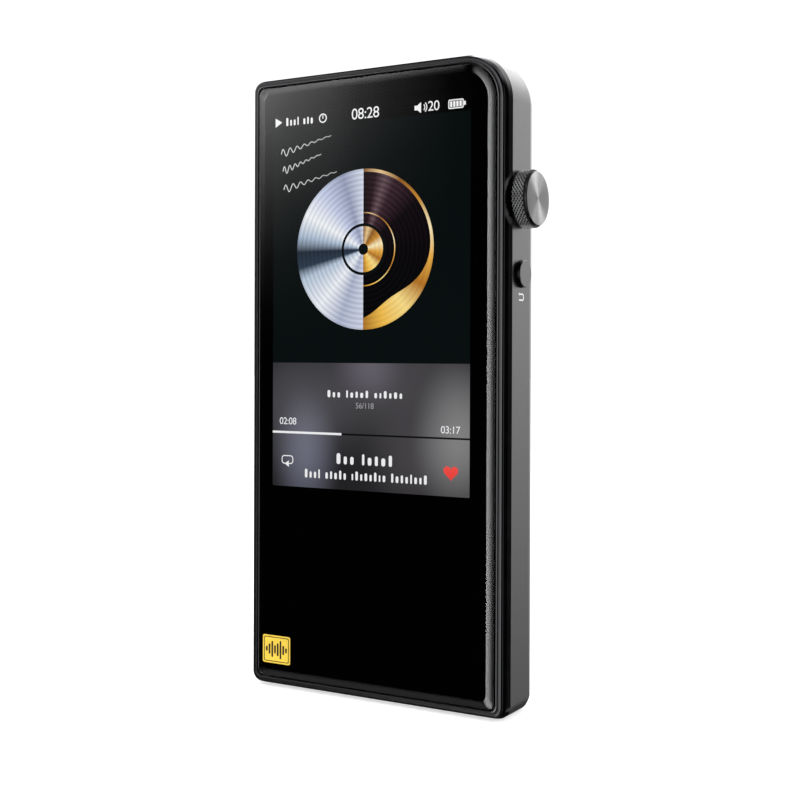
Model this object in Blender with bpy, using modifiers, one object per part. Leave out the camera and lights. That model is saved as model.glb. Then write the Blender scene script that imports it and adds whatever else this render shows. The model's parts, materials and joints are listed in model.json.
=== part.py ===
"""Digital audio player: an aluminium frame between two sheets of glass, with a wheel and a key on its side.

Frame: +Z up, +X towards the side with the wheel, the display faces -Y. The origin is the middle of the flat
underside. Dimensions below are in millimetres; MM turns them into metres.
"""
import math

import bmesh
import bpy
from mathutils import Vector

MM = 0.001

# Body: the outline seen from the front, and the edge section that runs all round it
BODY_WIDTH = 53.0
BODY_HEIGHT = 113.0
BODY_DEPTH = 12.4
SIDE_BAND = 7.0
WHEEL_CORNER = 8.25
PLAIN_CORNER = 2.5
LEAST_CORNER = 1.2
CORNER_STEPS = 8
CHAMFER_INSET = 0.82
RIM_DROP = 0.54
LAND_INSET = 1.1
WALL = 1.9
FIT = 0.2
ROOM = 0.3
PAST = 1.0
OVERLAP = 0.1

# Layers from each face inwards, as depths below the face
GLASS_THICK = 0.8
GLASS_INSET = 2.05
GLASS_CURVE_WIDTH = 1.3
GLASS_CURVE_DROP = 0.29
GLASS_CURVE_STEPS = 3
LIP_DROP = 0.3
LIP_WIDTH = 0.45
FLANGE_INSET = 3.1
FLANGE_TOP = 1.45
FLANGE_THICK = 0.45
POCKET_FLOOR = 2.1
ADHESIVE_THICK = 0.25

# Web between the display and the electronics
WEB_FRONT = -2.8
WEB_BACK = -1.6

# Display, seen from the front: its lit area and the panel's border
SCREEN_LEFT = -21.9
SCREEN_RIGHT = 19.5
SCREEN_BOTTOM = 37.4
SCREEN_TOP = 106.4
PANEL_BORDER = 1.2
PANEL_FOOT = 2.4
PANEL_THICK = 1.2
BACKLIGHT_THICK = 0.8

# The display's flexible lead, through a window in the web to a connector on the main board
FLEX_LEFT = -7.0
FLEX_RIGHT = 3.0
FLEX_THICK = 0.25
FLEX_FRONT = -4.6
FLEX_BACK = -0.8
FLEX_BEND_Z = 30.7
FLEX_END_Z = 33.7
FLEX_FRONT_RADIUS = 1.4
FLEX_BACK_RADIUS = 1.0
FLEX_WINDOW_MARGIN = 1.5
CONNECTOR_FRONT = -1.1
CONNECTOR_HEIGHT = 2.5

# Wheel and its encoder, on an axis along X
WHEEL_Z = 88.2
WHEEL_RADIUS = 4.95
WHEEL_START = BODY_WIDTH / 2 + 0.35
WHEEL_END = BODY_WIDTH / 2 + 2.55
WHEEL_CHAMFER = 0.25
CAP_RADIUS = 4.6
CAP_THICK = 0.95
CAP_PROUD = 0.55
CAP_EDGE = 0.3
SHAFT_RADIUS = 1.5
SHAFT_START = 16.6
SHAFT_END = 28.0
BUSH_RADIUS = 2.1
BUSH_FLANGE_RADIUS = 2.5
BUSH_START = 22.0
BUSH_SHOULDER = 23.4
ENCODER_WALL = 0.8
ENCODER_START = 13.6
ENCODER_END = 21.8
ENCODER_HALF_DEPTH = 2.6
ENCODER_HALF_HEIGHT = 5.8
PLUNGER_START = 15.6

# Return key, on an axis along X
KEY_Z = 75.5
KEY_RADIUS = 2.3
KEY_PROUD = 0.85
KEY_EDGE = 0.15
KEY_FLANGE_RADIUS = 2.9
KEY_FLANGE_START = 23.5
KEY_FLANGE_END = 24.3
SWITCH_START = 20.9
SWITCH_END = 22.2
SWITCH_FLOOR = 0.5
SWITCH_TRAVEL_ROOM = 0.5
SWITCH_HALF_DEPTH = 1.6
SWITCH_HALF_HEIGHT = 2.1
SWITCH_PLUNGER_RADIUS = 0.9
KEY_BOARD_THICK = 0.7
KEY_BOARD_FRONT = -2.4
KEY_BOARD_BACK = 3.6
KEY_BOARD_ABOVE = 4.0

# Main board and what stands on it
BOARD_FRONT = -0.3
BOARD_BACK = 0.6
BOARD_EDGE = BODY_WIDTH / 2 - WALL - 0.4
BOARD_LOW = 2.4
BOARD_SHOULDER = 50.0
BOARD_TOP = 104.0
STRIP_LEFT = 7.5
KEY_NOTCH_LEFT = 13.0
KEY_NOTCH_LOW = 70.4
KEY_NOTCH_HIGH = 96.1
SCREW_PLACES = ((-21.8, 5.2), (22.0, 5.2), (-21.8, 47.0), (22.0, 47.0), (10.3, 67.0), (10.3, 101.0))
SCREW_RADIUS = 0.6
SCREW_HEAD_RADIUS = 1.3
SCREW_HEAD_THICK = 0.6
SCREW_HEAD_EDGE = 0.2
SCREW_DEPTH = 0.5
BOSS_RADIUS = 1.6
BOSS_ROOT = 0.5

# Parts soldered to the back of the board: name, middle (x, z), size (width, height, thickness) and finish
SHIELD_MIDDLE = (1.0, 26.0)
SHIELD_SIZE = (18.0, 11.0, 1.8)
SHIELD_WALL = 0.3
BATTERY_PLUG_MIDDLE = (-4.3, 44.9)
BATTERY_PLUG_SIZE = (4.2, 3.0, 1.8)
BOARD_PARTS = (
    ("processor", (-2.5, 26.0), (8.0, 8.0, 1.0), "chip_epoxy"),
    ("memory_chip", (5.2, 26.0), (4.8, 7.0, 0.9), "chip_epoxy"),
    ("dac_left", (14.6, 24.4), (7.0, 7.0, 1.3), "chip_epoxy"),
    ("dac_right", (14.6, 33.4), (7.0, 7.0, 1.3), "chip_epoxy"),
    ("clock_crystal_1", (20.9, 24.4), (3.2, 2.5, 0.8), "steel"),
    ("clock_crystal_2", (20.9, 33.4), (3.2, 2.5, 0.8), "steel"),
    ("power_chip", (-16.0, 14.4), (4.0, 4.0, 0.8), "chip_epoxy"),
    ("wireless_module", (-17.0, 22.6), (9.5, 7.0, 1.6), "steel"),
    ("bluetooth_antenna", (16.4, 100.2), (7.0, 5.0, 0.3), "flex_film"),
    ("battery_plug", BATTERY_PLUG_MIDDLE, BATTERY_PLUG_SIZE, "black_plastic"),
)
AMPLIFIER_SIZE = (3.0, 3.0, 0.9)
AMPLIFIER_Z = 41.6
AMPLIFIER_FIRST_X = 9.6
AMPLIFIER_PITCH = 4.0
AMPLIFIER_COUNT = 4

# Battery beside the board's strip, its protection board below it, and its two leads
BATTERY_LOW = (-24.1, -1.3, 53.7)
BATTERY_HIGH = (6.8, 4.0, 110.3)
BATTERY_EDGE = 0.9
PROTECTION_LOW = (-14.0, 0.6, 51.0)
PROTECTION_HIGH = (2.0, 2.6, 53.3)
LEAD_RADIUS = 0.35
LEAD_SPREAD = 1.6
LEAD_START = (1.6, PROTECTION_LOW[2] - 0.2)
LEAD_RISE = 0.3
LEAD_STEPS = 6

# Sockets in the underside, all in one line: middle along X, nose and bore radius, width, back and end
SOCKET_Y = 0.6
SOCKET_FRONT = -1.3
HEADPHONE_X = 15.5
HEADPHONE_NOSE = 2.5
HEADPHONE_BORE = 1.8
HEADPHONE_WIDTH = 6.4
HEADPHONE_BACK = 3.7
HEADPHONE_END = 15.4
BALANCED_X = 6.0
BALANCED_NOSE = 1.95
BALANCED_BORE = 1.3
BALANCED_WIDTH = 4.8
BALANCED_BACK = 3.1
BALANCED_END = 13.2
SOCKET_CLOSED_END = 1.1
USB_X = -14.0
USB_WIDTH = 8.94
USB_HEIGHT = 3.26
USB_WALL = 0.3
USB_LENGTH = 7.7
TONGUE_WIDTH = 6.7
TONGUE_THICK = 0.7
TONGUE_START = 1.1
TONGUE_SEAT = 2.0

# Card slot in the left side
CARD_Z = 36.0
CARD_WIDTH = 11.2
CARD_THICK = 0.8
CARD_LENGTH = 13.6
CARD_WALL = 0.3
CARD_SIDE_WALL = 0.5
CARD_BACK_WALL = 0.6
CARD_MOUTH_MARGIN = 0.2

ROUND_STEPS = 32
FINE_STEPS = 48
BORE_STEPS = 24

# Finishes: colour, roughness, metallic
FINISHES = {
    "black_anodised": ((0.09, 0.09, 0.095), 0.38, 0.9),
    "black_plastic": ((0.02, 0.02, 0.02), 0.35, 0.0),
    "black_glass": ((0.006, 0.006, 0.007), 0.05, 0.0),
    "clear_glass": ((0.03, 0.03, 0.035), 0.05, 0.0),
    "adhesive": ((0.03, 0.03, 0.03), 0.6, 0.0),
    "spun_aluminium": ((0.42, 0.42, 0.43), 0.3, 1.0),
    "steel": ((0.6, 0.6, 0.6), 0.3, 1.0),
    "gold_plate": ((0.8, 0.6, 0.25), 0.3, 1.0),
    "white_diffuser": ((0.85, 0.85, 0.85), 0.5, 0.0),
    "flex_film": ((0.5, 0.28, 0.08), 0.45, 0.0),
    "circuit_board": ((0.02, 0.09, 0.04), 0.5, 0.0),
    "chip_epoxy": ((0.03, 0.03, 0.03), 0.55, 0.0),
    "battery_foil": ((0.5, 0.5, 0.52), 0.4, 0.6),
    "red_insulation": ((0.6, 0.03, 0.02), 0.5, 0.0),
    "black_insulation": ((0.02, 0.02, 0.02), 0.5, 0.0),
}


def clear_scene():
    """Remove whatever the scene holds."""
    for obj in list(bpy.data.objects):
        bpy.data.objects.remove(obj, do_unlink=True)


def new_collection(name):
    """A collection linked to the scene."""
    collection = bpy.data.collections.new(name)
    bpy.context.scene.collection.children.link(collection)
    return collection


def settle(obj, finish):
    """Put an object in the player's collection with its own material, or among the cutters."""
    for collection in list(obj.users_collection):
        collection.objects.unlink(obj)
    if finish is None:
        CUTTERS.objects.link(obj)
        obj.hide_render = True
        obj.display_type = "WIRE"
        return obj
    PARTS.objects.link(obj)
    obj.parent = PLAYER
    colour, roughness, metallic = FINISHES[finish]
    material = bpy.data.materials.new(obj.name + "_" + finish)
    material.use_nodes = True
    shader = material.node_tree.nodes["Principled BSDF"]
    shader.inputs["Base Color"].default_value = (*colour, 1.0)
    shader.inputs["Roughness"].default_value = roughness
    shader.inputs["Metallic"].default_value = metallic
    obj.data.materials.append(material)
    return obj


def rounded_outline(low, high, radii):
    """Anticlockwise points of a rectangle whose corners, from the lower right, have the given radii."""
    corners = ((high[0], low[1], 1, -1), (high[0], high[1], 1, 1), (low[0], high[1], -1, 1),
               (low[0], low[1], -1, -1))
    points = []
    for turn, ((across, up, side, end), radius) in enumerate(zip(corners, radii)):
        for step in range(CORNER_STEPS + 1):
            angle = math.radians(90.0 * (turn - 1 + step / CORNER_STEPS))
            points.append((across - side * radius + radius * math.cos(angle),
                           up - end * radius + radius * math.sin(angle)))
    return points


def body_outline(inset):
    """The body's front outline as (x, z), moved inwards; only the corner by the wheel is large."""
    radii = [max(radius - inset, LEAST_CORNER)
             for radius in (PLAIN_CORNER, WHEEL_CORNER, PLAIN_CORNER, PLAIN_CORNER)]
    half = BODY_WIDTH / 2 - inset
    return rounded_outline((-half, inset), (half, BODY_HEIGHT - inset), radii)


def centred_outline(middle, width, height, radius):
    """A rounded rectangle about its middle."""
    low = (middle[0] - width / 2, middle[1] - height / 2)
    high = (middle[0] + width / 2, middle[1] + height / 2)
    return rounded_outline(low, high, (radius,) * 4)


def stadium(middle, width, height):
    """An outline with round ends about its middle."""
    return centred_outline(middle, width, height, min(width, height) / 2 - 0.01)


def loft(name, rings, finish, closed=False):
    """A solid through body outlines given as (inset, y); a closed one is a ring round the body."""
    shape = bmesh.new()
    loops = []
    for inset, depth in rings:
        loops.append([shape.verts.new((x * MM, depth * MM, z * MM)) for x, z in body_outline(inset)])
    pairs = list(zip(loops, loops[1:]))
    if closed:
        pairs.append((loops[-1], loops[0]))
    else:
        shape.faces.new(loops[0])
        shape.faces.new(list(reversed(loops[-1])))
    for near, far in pairs:
        for index, vertex in enumerate(near):
            shape.faces.new((near[index - 1], vertex, far[index], far[index - 1]))
    bmesh.ops.recalc_face_normals(shape, faces=shape.faces[:])
    mesh = bpy.data.meshes.new(name)
    shape.to_mesh(mesh)
    shape.free()
    return settle(bpy.data.objects.new(name, mesh), finish)


def prism(name, outlines, start, end, axis, finish):
    """Flat outlines, the later ones holes in the first, made solid along X, Y or Z."""
    curve = bpy.data.curves.new(name, "CURVE")
    curve.dimensions = "2D"
    curve.fill_mode = "BOTH"
    curve.extrude = (end - start) / 2 * MM
    for outline in outlines:
        spline = curve.splines.new("POLY")
        spline.points.add(len(outline) - 1)
        for point, (across, up) in zip(spline.points, outline):
            point.co = (across * MM, up * MM, 0.0, 1.0)
        spline.use_cyclic_u = True
    flat = bpy.data.objects.new(name + "_outline", curve)
    flat.rotation_euler = {"X": (math.pi / 2, 0, math.pi / 2), "Y": (math.pi / 2, 0, 0), "Z": (0, 0, 0)}[axis]
    flat.location["XYZ".index(axis)] = (start + end) / 2 * MM
    return settle(meshed(flat, name), finish)


def meshed(flat, name):
    """The mesh of a curve, welded where its caps meet its sides, in the curve's place."""
    bpy.context.scene.collection.objects.link(flat)
    bpy.context.view_layer.update()
    evaluated = flat.evaluated_get(bpy.context.evaluated_depsgraph_get())
    mesh = bpy.data.meshes.new_from_object(evaluated)
    shape = bmesh.new()
    shape.from_mesh(mesh)
    bmesh.ops.remove_doubles(shape, verts=shape.verts[:], dist=0.000005)
    bmesh.ops.recalc_face_normals(shape, faces=shape.faces[:])
    shape.to_mesh(mesh)
    shape.free()
    solid = bpy.data.objects.new(name, mesh)
    solid.matrix_world = flat.matrix_world
    bpy.data.objects.remove(flat, do_unlink=True)
    return solid


def block(name, low, high, finish, bevel=0.0):
    """A box between two corners, its origin in its middle."""
    low, high = Vector(low), Vector(high)
    bpy.ops.mesh.primitive_cube_add(size=1.0, location=(low + high) / 2 * MM)
    box = bpy.context.object
    box.name = name
    box.scale = (high - low) * MM
    bpy.ops.object.transform_apply(location=False, rotation=False, scale=True)
    if bevel:
        rounding = box.modifiers.new("rounding", "BEVEL")
        rounding.width = bevel * MM
        rounding.segments = 2
    return settle(box, finish)


def chip(name, middle, size, finish="chip_epoxy"):
    """A part soldered to the back of the main board; size is width, height and thickness."""
    (x, z), (width, height, thick) = middle, size
    foot = BOARD_BACK + FIT
    low = (x - width / 2, foot, z - height / 2)
    return block(name, low, (x + width / 2, foot + thick, z + height / 2), finish)


def rod(name, start, end, radius, axis, finish=None, steps=ROUND_STEPS):
    """A cylinder along one axis from start to end."""
    start, end = Vector(start), Vector(end)
    turn = {"X": (0, math.pi / 2, 0), "Y": (math.pi / 2, 0, 0), "Z": (0, 0, 0)}[axis]
    bpy.ops.mesh.primitive_cylinder_add(vertices=steps, radius=radius * MM, depth=(end - start).length * MM,
                                        location=(start + end) / 2 * MM, rotation=turn)
    cylinder = bpy.context.object
    cylinder.name = name
    return settle(cylinder, finish)


def turned(name, profile, place, axis, finish, steps=ROUND_STEPS):
    """A turned piece: (radius, height) points down its outer side, height measured along the axis."""
    mesh = bpy.data.meshes.new(name)
    edges = [(index, index + 1) for index in range(len(profile) - 1)]
    if profile[0][0] > 0.0:
        edges.append((len(profile) - 1, 0))
    mesh.from_pydata([(radius * MM, 0.0, height * MM) for radius, height in profile], edges, [])
    piece = bpy.data.objects.new(name, mesh)
    piece.location = Vector(place) * MM
    piece.rotation_euler = {"X": (0, math.pi / 2, 0), "Y": (-math.pi / 2, 0, 0)}[axis]
    lathe = piece.modifiers.new("lathe", "SCREW")
    lathe.steps = steps
    lathe.render_steps = steps
    lathe.use_merge_vertices = True
    lathe.merge_threshold = 0.00001
    lathe.use_smooth_shade = True
    return settle(piece, finish)


def combine(target, tool, operation):
    """Cut the target with a tool, or join the tool to it."""
    change = target.modifiers.new(tool.name, "BOOLEAN")
    change.operation = operation
    change.solver = "EXACT"
    change.object = tool


def cut(target, tool):
    combine(target, tool, "DIFFERENCE")


def join(target, tool):
    combine(target, tool, "UNION")


def glass_rings(face, inwards):
    """Outlines of a cover glass from its flat outer face down its curved edge to its inner face."""
    rings = []
    for step in range(GLASS_CURVE_STEPS + 1):
        angle = math.radians(90.0 * step / GLASS_CURVE_STEPS)
        inset = GLASS_INSET + GLASS_CURVE_WIDTH * (1.0 - math.sin(angle))
        rings.append((inset, face + inwards * GLASS_CURVE_DROP * (1.0 - math.cos(angle))))
    rings.append((GLASS_INSET, face + inwards * GLASS_THICK))
    return rings


def make_face(side, face, inwards):
    """The glass, adhesive and L-shaped bezel of one face; inwards is +1 for the front and -1 for the back."""
    loft(side + "_glass", glass_rings(face, inwards), "black_glass")
    outer = LAND_INSET + FIT
    flange_top = face + inwards * FLANGE_TOP
    flange_foot = flange_top + inwards * FLANGE_THICK
    lip = face + inwards * LIP_DROP
    section = ((outer, lip), (outer + LIP_WIDTH, lip), (outer + LIP_WIDTH, flange_top),
               (FLANGE_INSET, flange_top), (FLANGE_INSET, flange_foot), (outer, flange_foot))
    loft(side + "_bezel", section, "black_plastic", closed=True)
    near = face + inwards * (GLASS_THICK + FIT)
    far = near + inwards * ADHESIVE_THICK
    outlines = (body_outline(GLASS_INSET + FIT), body_outline(FLANGE_INSET))
    prism(side + "_adhesive", outlines, min(near, far), max(near, far), "Y", "adhesive")


def make_middle_frame():
    """The machined frame: a rim with slanted edges, a web across it, and openings in three sides."""
    rim = BODY_DEPTH / 2 - RIM_DROP
    band = SIDE_BAND / 2
    frame = loft("middle_frame", ((CHAMFER_INSET, -rim), (0, -band), (0, band), (CHAMFER_INSET, rim)),
                 "black_anodised")
    floor = BODY_DEPTH / 2 - POCKET_FLOOR
    cut(frame, loft("front_pocket", ((LAND_INSET, -BODY_DEPTH), (LAND_INSET, -floor), (WALL, -floor),
                                     (WALL, WEB_FRONT)), None))
    cut(frame, loft("back_pocket", ((WALL, WEB_BACK), (WALL, floor), (LAND_INSET, floor),
                                    (LAND_INSET, BODY_DEPTH)), None))
    inner, outer = BODY_WIDTH / 2 - WALL, BODY_WIDTH / 2 + PAST
    cut(frame, rod("wheel_hole", (inner - PAST, 0, WHEEL_Z), (outer, 0, WHEEL_Z), BUSH_RADIUS + FIT, "X"))
    cut(frame, rod("key_hole", (inner - PAST, 0, KEY_Z), (outer, 0, KEY_Z), KEY_RADIUS + FIT, "X"))
    for x, nose in ((HEADPHONE_X, HEADPHONE_NOSE), (BALANCED_X, BALANCED_NOSE)):
        cut(frame, rod("socket_hole", (x, SOCKET_Y, -PAST), (x, SOCKET_Y, WALL + PAST), nose + FIT, "Z"))
    usb = stadium((USB_X, SOCKET_Y), USB_WIDTH + 2 * FIT, USB_HEIGHT + 2 * FIT)
    cut(frame, prism("usb_hole", (usb,), -PAST, WALL + OVERLAP, "Z", None))
    margin = 2 * CARD_MOUTH_MARGIN
    card_y = BOARD_BACK + FIT + CARD_WALL + CARD_THICK / 2
    card = stadium((card_y, CARD_Z), CARD_THICK + margin, CARD_WIDTH + margin)
    cut(frame, prism("card_hole", (card,), -outer, -inner + OVERLAP, "X", None))
    front, back = WEB_FRONT - PAST, WEB_BACK + 0.5
    cut(frame, block("key_window", (KEY_NOTCH_LEFT - 2 * FIT, front, KEY_NOTCH_LOW + 2 * FIT),
                     (inner - OVERLAP, back, KEY_NOTCH_HIGH - 2 * FIT), None))
    cut(frame, block("flex_window", (FLEX_LEFT - FLEX_WINDOW_MARGIN, front, FLEX_BEND_Z - FLEX_WINDOW_MARGIN),
                     (FLEX_RIGHT + FLEX_WINDOW_MARGIN, back, FLEX_BEND_Z + FLEX_WINDOW_MARGIN), None))
    for number, (x, z) in enumerate(SCREW_PLACES, 1):
        root = (x, WEB_BACK - BOSS_ROOT, z)
        join(frame, rod(f"boss_{number}", root, (x, BOARD_FRONT - FIT, z), BOSS_RADIUS, "Y",
                        steps=BORE_STEPS))
        hole_end = (x, WEB_BACK - SCREW_DEPTH - FIT, z)
        cut(frame, rod(f"boss_hole_{number}", hole_end, (x, BOARD_FRONT, z), SCREW_RADIUS + FIT, "Y",
                       steps=BORE_STEPS))


def make_display():
    """The display panel, its backlight, and the flexible lead that passes through the web to the board."""
    left, right = SCREEN_LEFT - PANEL_BORDER, SCREEN_RIGHT + PANEL_BORDER
    foot, top = SCREEN_BOTTOM - PANEL_FOOT, SCREEN_TOP + PANEL_BORDER
    near = -BODY_DEPTH / 2 + GLASS_THICK + FIT
    far = near + PANEL_THICK
    block("display_panel", (left, near, foot), (right, far, top), "clear_glass")
    block("backlight", (left + FIT, far + FIT, foot + FIT),
          (right - FIT, far + FIT + BACKLIGHT_THICK, top - FIT), "white_diffuser")
    route = [(FLEX_FRONT, foot - ROOM)]
    near_bend, far_bend = FLEX_FRONT_RADIUS, FLEX_BACK_RADIUS
    route += arc((FLEX_FRONT + near_bend, FLEX_BEND_Z + near_bend), near_bend, 180.0, 270.0)
    route += arc((FLEX_BACK - far_bend, FLEX_BEND_Z + far_bend), far_bend, 270.0, 360.0)
    route.append((FLEX_BACK, FLEX_END_Z))
    bend_film("display_flex", route, FLEX_LEFT, FLEX_RIGHT, FLEX_THICK)
    connector = FLEX_END_Z + FIT
    block("display_connector", (FLEX_LEFT - 1.0, CONNECTOR_FRONT, connector),
          (FLEX_RIGHT + 1.0, BOARD_FRONT - FIT, connector + CONNECTOR_HEIGHT), "black_plastic")


def arc(middle, radius, start, end, steps=4):
    """Points of an arc, with its angles in degrees."""
    angles = [math.radians(start + (end - start) * step / steps) for step in range(steps + 1)]
    return [(middle[0] + radius * math.cos(angle), middle[1] + radius * math.sin(angle)) for angle in angles]


def bend_film(name, route, left, right, thickness):
    """A flexible film: a strip that follows (y, z) points, thickened to both sides."""
    mesh = bpy.data.meshes.new(name)
    points = [(x * MM, y * MM, z * MM) for y, z in route for x in (left, right)]
    faces = [(2 * row, 2 * row + 1, 2 * row + 3, 2 * row + 2) for row in range(len(route) - 1)]
    mesh.from_pydata(points, [], faces)
    film = bpy.data.objects.new(name, mesh)
    body = film.modifiers.new("thickness", "SOLIDIFY")
    body.thickness = thickness * MM
    body.offset = 0.0
    body.use_even_offset = True
    settle(film, "flex_film")


def make_wheel():
    """The volume wheel, its shaft, and the encoder that holds it; the wheel can also be pushed in."""
    place = (0.0, 0.0, WHEEL_Z)
    recess = WHEEL_END - CAP_THICK + CAP_PROUD - FIT
    rim = CAP_RADIUS + FIT
    turned("volume_knob", ((rim, WHEEL_END), (WHEEL_RADIUS - WHEEL_CHAMFER, WHEEL_END),
                           (WHEEL_RADIUS, WHEEL_END - WHEEL_CHAMFER),
                           (WHEEL_RADIUS, WHEEL_START + WHEEL_CHAMFER),
                           (WHEEL_RADIUS - WHEEL_CHAMFER, WHEEL_START), (SHAFT_RADIUS + FIT, WHEEL_START),
                           (SHAFT_RADIUS + FIT, recess), (rim, recess)),
           place, "X", "black_anodised", FINE_STEPS)
    cap_front = WHEEL_END + CAP_PROUD
    cap_back = cap_front - CAP_THICK
    turned("knob_cap", ((0.0, cap_front), (CAP_RADIUS - CAP_EDGE, cap_front),
                        (CAP_RADIUS, cap_front - CAP_EDGE), (CAP_RADIUS, cap_back), (0.0, cap_back)),
           place, "X", "spun_aluminium", FINE_STEPS)
    turned("encoder_shaft", ((0.0, SHAFT_END), (SHAFT_RADIUS, SHAFT_END), (SHAFT_RADIUS, SHAFT_START),
                             (0.0, SHAFT_START)), place, "X", "steel")
    turned("encoder_plunger", ((0.0, SHAFT_START - FIT), (SHAFT_RADIUS, SHAFT_START - FIT),
                               (SHAFT_RADIUS, PLUNGER_START), (0.0, PLUNGER_START)),
           place, "X", "black_plastic")
    bore = SHAFT_RADIUS + FIT
    turned("encoder_bush", ((bore, BODY_WIDTH / 2 - FIT), (BUSH_RADIUS, BODY_WIDTH / 2 - FIT),
                            (BUSH_RADIUS, BUSH_SHOULDER), (BUSH_FLANGE_RADIUS, BUSH_SHOULDER),
                            (BUSH_FLANGE_RADIUS, BUSH_START), (bore, BUSH_START)), place, "X", "steel")
    body = block("encoder_body", (ENCODER_START, -ENCODER_HALF_DEPTH, WHEEL_Z - ENCODER_HALF_HEIGHT),
                 (ENCODER_END, ENCODER_HALF_DEPTH, WHEEL_Z + ENCODER_HALF_HEIGHT), "steel")
    cut(body, rod("encoder_bore", (ENCODER_START + ENCODER_WALL, 0, WHEEL_Z),
                  (ENCODER_END + PAST, 0, WHEEL_Z), bore, "X"))


def make_return_key():
    """The return key, held by its flange behind the frame's wall, and the switch that it presses."""
    place = (0.0, 0.0, KEY_Z)
    face = BODY_WIDTH / 2 + KEY_PROUD
    turned("return_button", ((0.0, face), (KEY_RADIUS - KEY_EDGE, face), (KEY_RADIUS, face - KEY_EDGE),
                             (KEY_RADIUS, KEY_FLANGE_END), (KEY_FLANGE_RADIUS, KEY_FLANGE_END),
                             (KEY_FLANGE_RADIUS, KEY_FLANGE_START), (0.0, KEY_FLANGE_START)),
           place, "X", "black_anodised")
    tip = KEY_FLANGE_START - FIT
    foot = SWITCH_START + SWITCH_FLOOR + SWITCH_TRAVEL_ROOM
    radius = SWITCH_PLUNGER_RADIUS
    turned("return_plunger", ((0.0, tip), (radius, tip), (radius, foot), (0.0, foot)), place, "X",
           "black_plastic", BORE_STEPS)
    switch = block("return_switch", (SWITCH_START, -SWITCH_HALF_DEPTH, KEY_Z - SWITCH_HALF_HEIGHT),
                   (SWITCH_END, SWITCH_HALF_DEPTH, KEY_Z + SWITCH_HALF_HEIGHT), "steel")
    cut(switch, rod("switch_bore", (SWITCH_START + SWITCH_FLOOR, 0, KEY_Z), (SWITCH_END + PAST, 0, KEY_Z),
                    SWITCH_PLUNGER_RADIUS + FIT, "X", steps=BORE_STEPS))
    board_end = SWITCH_START - FIT
    block("return_key_board", (board_end - KEY_BOARD_THICK, KEY_BOARD_FRONT, KEY_NOTCH_LOW + PAST),
          (board_end, KEY_BOARD_BACK, KEY_Z + KEY_BOARD_ABOVE), "circuit_board")


def socket(name, x, width, back, end, bore_radius, nose_radius):
    """A round socket: a box behind the wall and a nose through it, bored from below."""
    housing = block(name, (x - width / 2, SOCKET_FRONT, WALL + FIT), (x + width / 2, back, end),
                    "black_plastic")
    join(housing, rod(name + "_nose", (x, SOCKET_Y, FIT), (x, SOCKET_Y, WALL + 2 * FIT), nose_radius, "Z"))
    cut(housing, rod(name + "_bore", (x, SOCKET_Y, -PAST), (x, SOCKET_Y, end - SOCKET_CLOSED_END),
                     bore_radius, "Z", steps=BORE_STEPS))


def make_sockets():
    """The sockets in the underside: 3.5 mm and 2.5 mm headphone outputs, and USB-C."""
    socket("headphone_jack", HEADPHONE_X, HEADPHONE_WIDTH, HEADPHONE_BACK, HEADPHONE_END, HEADPHONE_BORE,
           HEADPHONE_NOSE)
    socket("balanced_jack", BALANCED_X, BALANCED_WIDTH, BALANCED_BACK, BALANCED_END, BALANCED_BORE,
           BALANCED_NOSE)
    middle = (USB_X, SOCKET_Y)
    outer = stadium(middle, USB_WIDTH, USB_HEIGHT)
    inner = stadium(middle, USB_WIDTH - 2 * USB_WALL, USB_HEIGHT - 2 * USB_WALL)
    end = FIT + USB_LENGTH
    prism("usb_c_shell", (outer, inner), FIT, end, "Z", "steel")
    seat = stadium(middle, USB_WIDTH - 2 * (USB_WALL + FIT), USB_HEIGHT - 2 * (USB_WALL + FIT))
    core = prism("usb_c_tongue", (seat,), end - TONGUE_SEAT, end, "Z", "black_plastic")
    join(core, block("usb_c_tongue_blade",
                     (USB_X - TONGUE_WIDTH / 2, SOCKET_Y - TONGUE_THICK / 2, TONGUE_START),
                     (USB_X + TONGUE_WIDTH / 2, SOCKET_Y + TONGUE_THICK / 2, end - TONGUE_SEAT / 2), None))


def make_card_slot():
    """The memory-card holder on the board, open towards the left side."""
    near = BOARD_BACK + FIT
    half = CARD_WIDTH / 2
    left = -BODY_WIDTH / 2 + WALL + FIT
    holder = block("card_slot", (left, near, CARD_Z - half - CARD_SIDE_WALL),
                   (left + CARD_LENGTH + CARD_BACK_WALL, near + CARD_THICK + 2 * CARD_WALL,
                    CARD_Z + half + CARD_SIDE_WALL), "steel")
    cut(holder, block("card_space", (left - PAST, near + CARD_WALL, CARD_Z - half),
                      (left + CARD_LENGTH, near + CARD_WALL + CARD_THICK, CARD_Z + half), None))


def board_outline():
    """The main board as (x, z): full width below the battery, with a strip beside it up to the wheel."""
    edge = BOARD_EDGE
    sockets = ((USB_X, USB_WIDTH / 2 + ROOM, FIT + USB_LENGTH + ROOM),
               (BALANCED_X, BALANCED_WIDTH / 2 + ROOM, BALANCED_END + ROOM),
               (HEADPHONE_X, HEADPHONE_WIDTH / 2 + ROOM, HEADPHONE_END + ROOM))
    points = [(-edge, BOARD_LOW)]
    for middle, half, end in sockets:
        points += [(middle - half, BOARD_LOW), (middle - half, end), (middle + half, end),
                   (middle + half, BOARD_LOW)]
    points += [(edge, BOARD_LOW), (edge, KEY_NOTCH_LOW), (KEY_NOTCH_LEFT, KEY_NOTCH_LOW),
               (KEY_NOTCH_LEFT, KEY_NOTCH_HIGH), (edge, KEY_NOTCH_HIGH), (edge, BOARD_TOP),
               (STRIP_LEFT, BOARD_TOP), (STRIP_LEFT, BOARD_SHOULDER), (-edge, BOARD_SHOULDER)]
    return points


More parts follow.
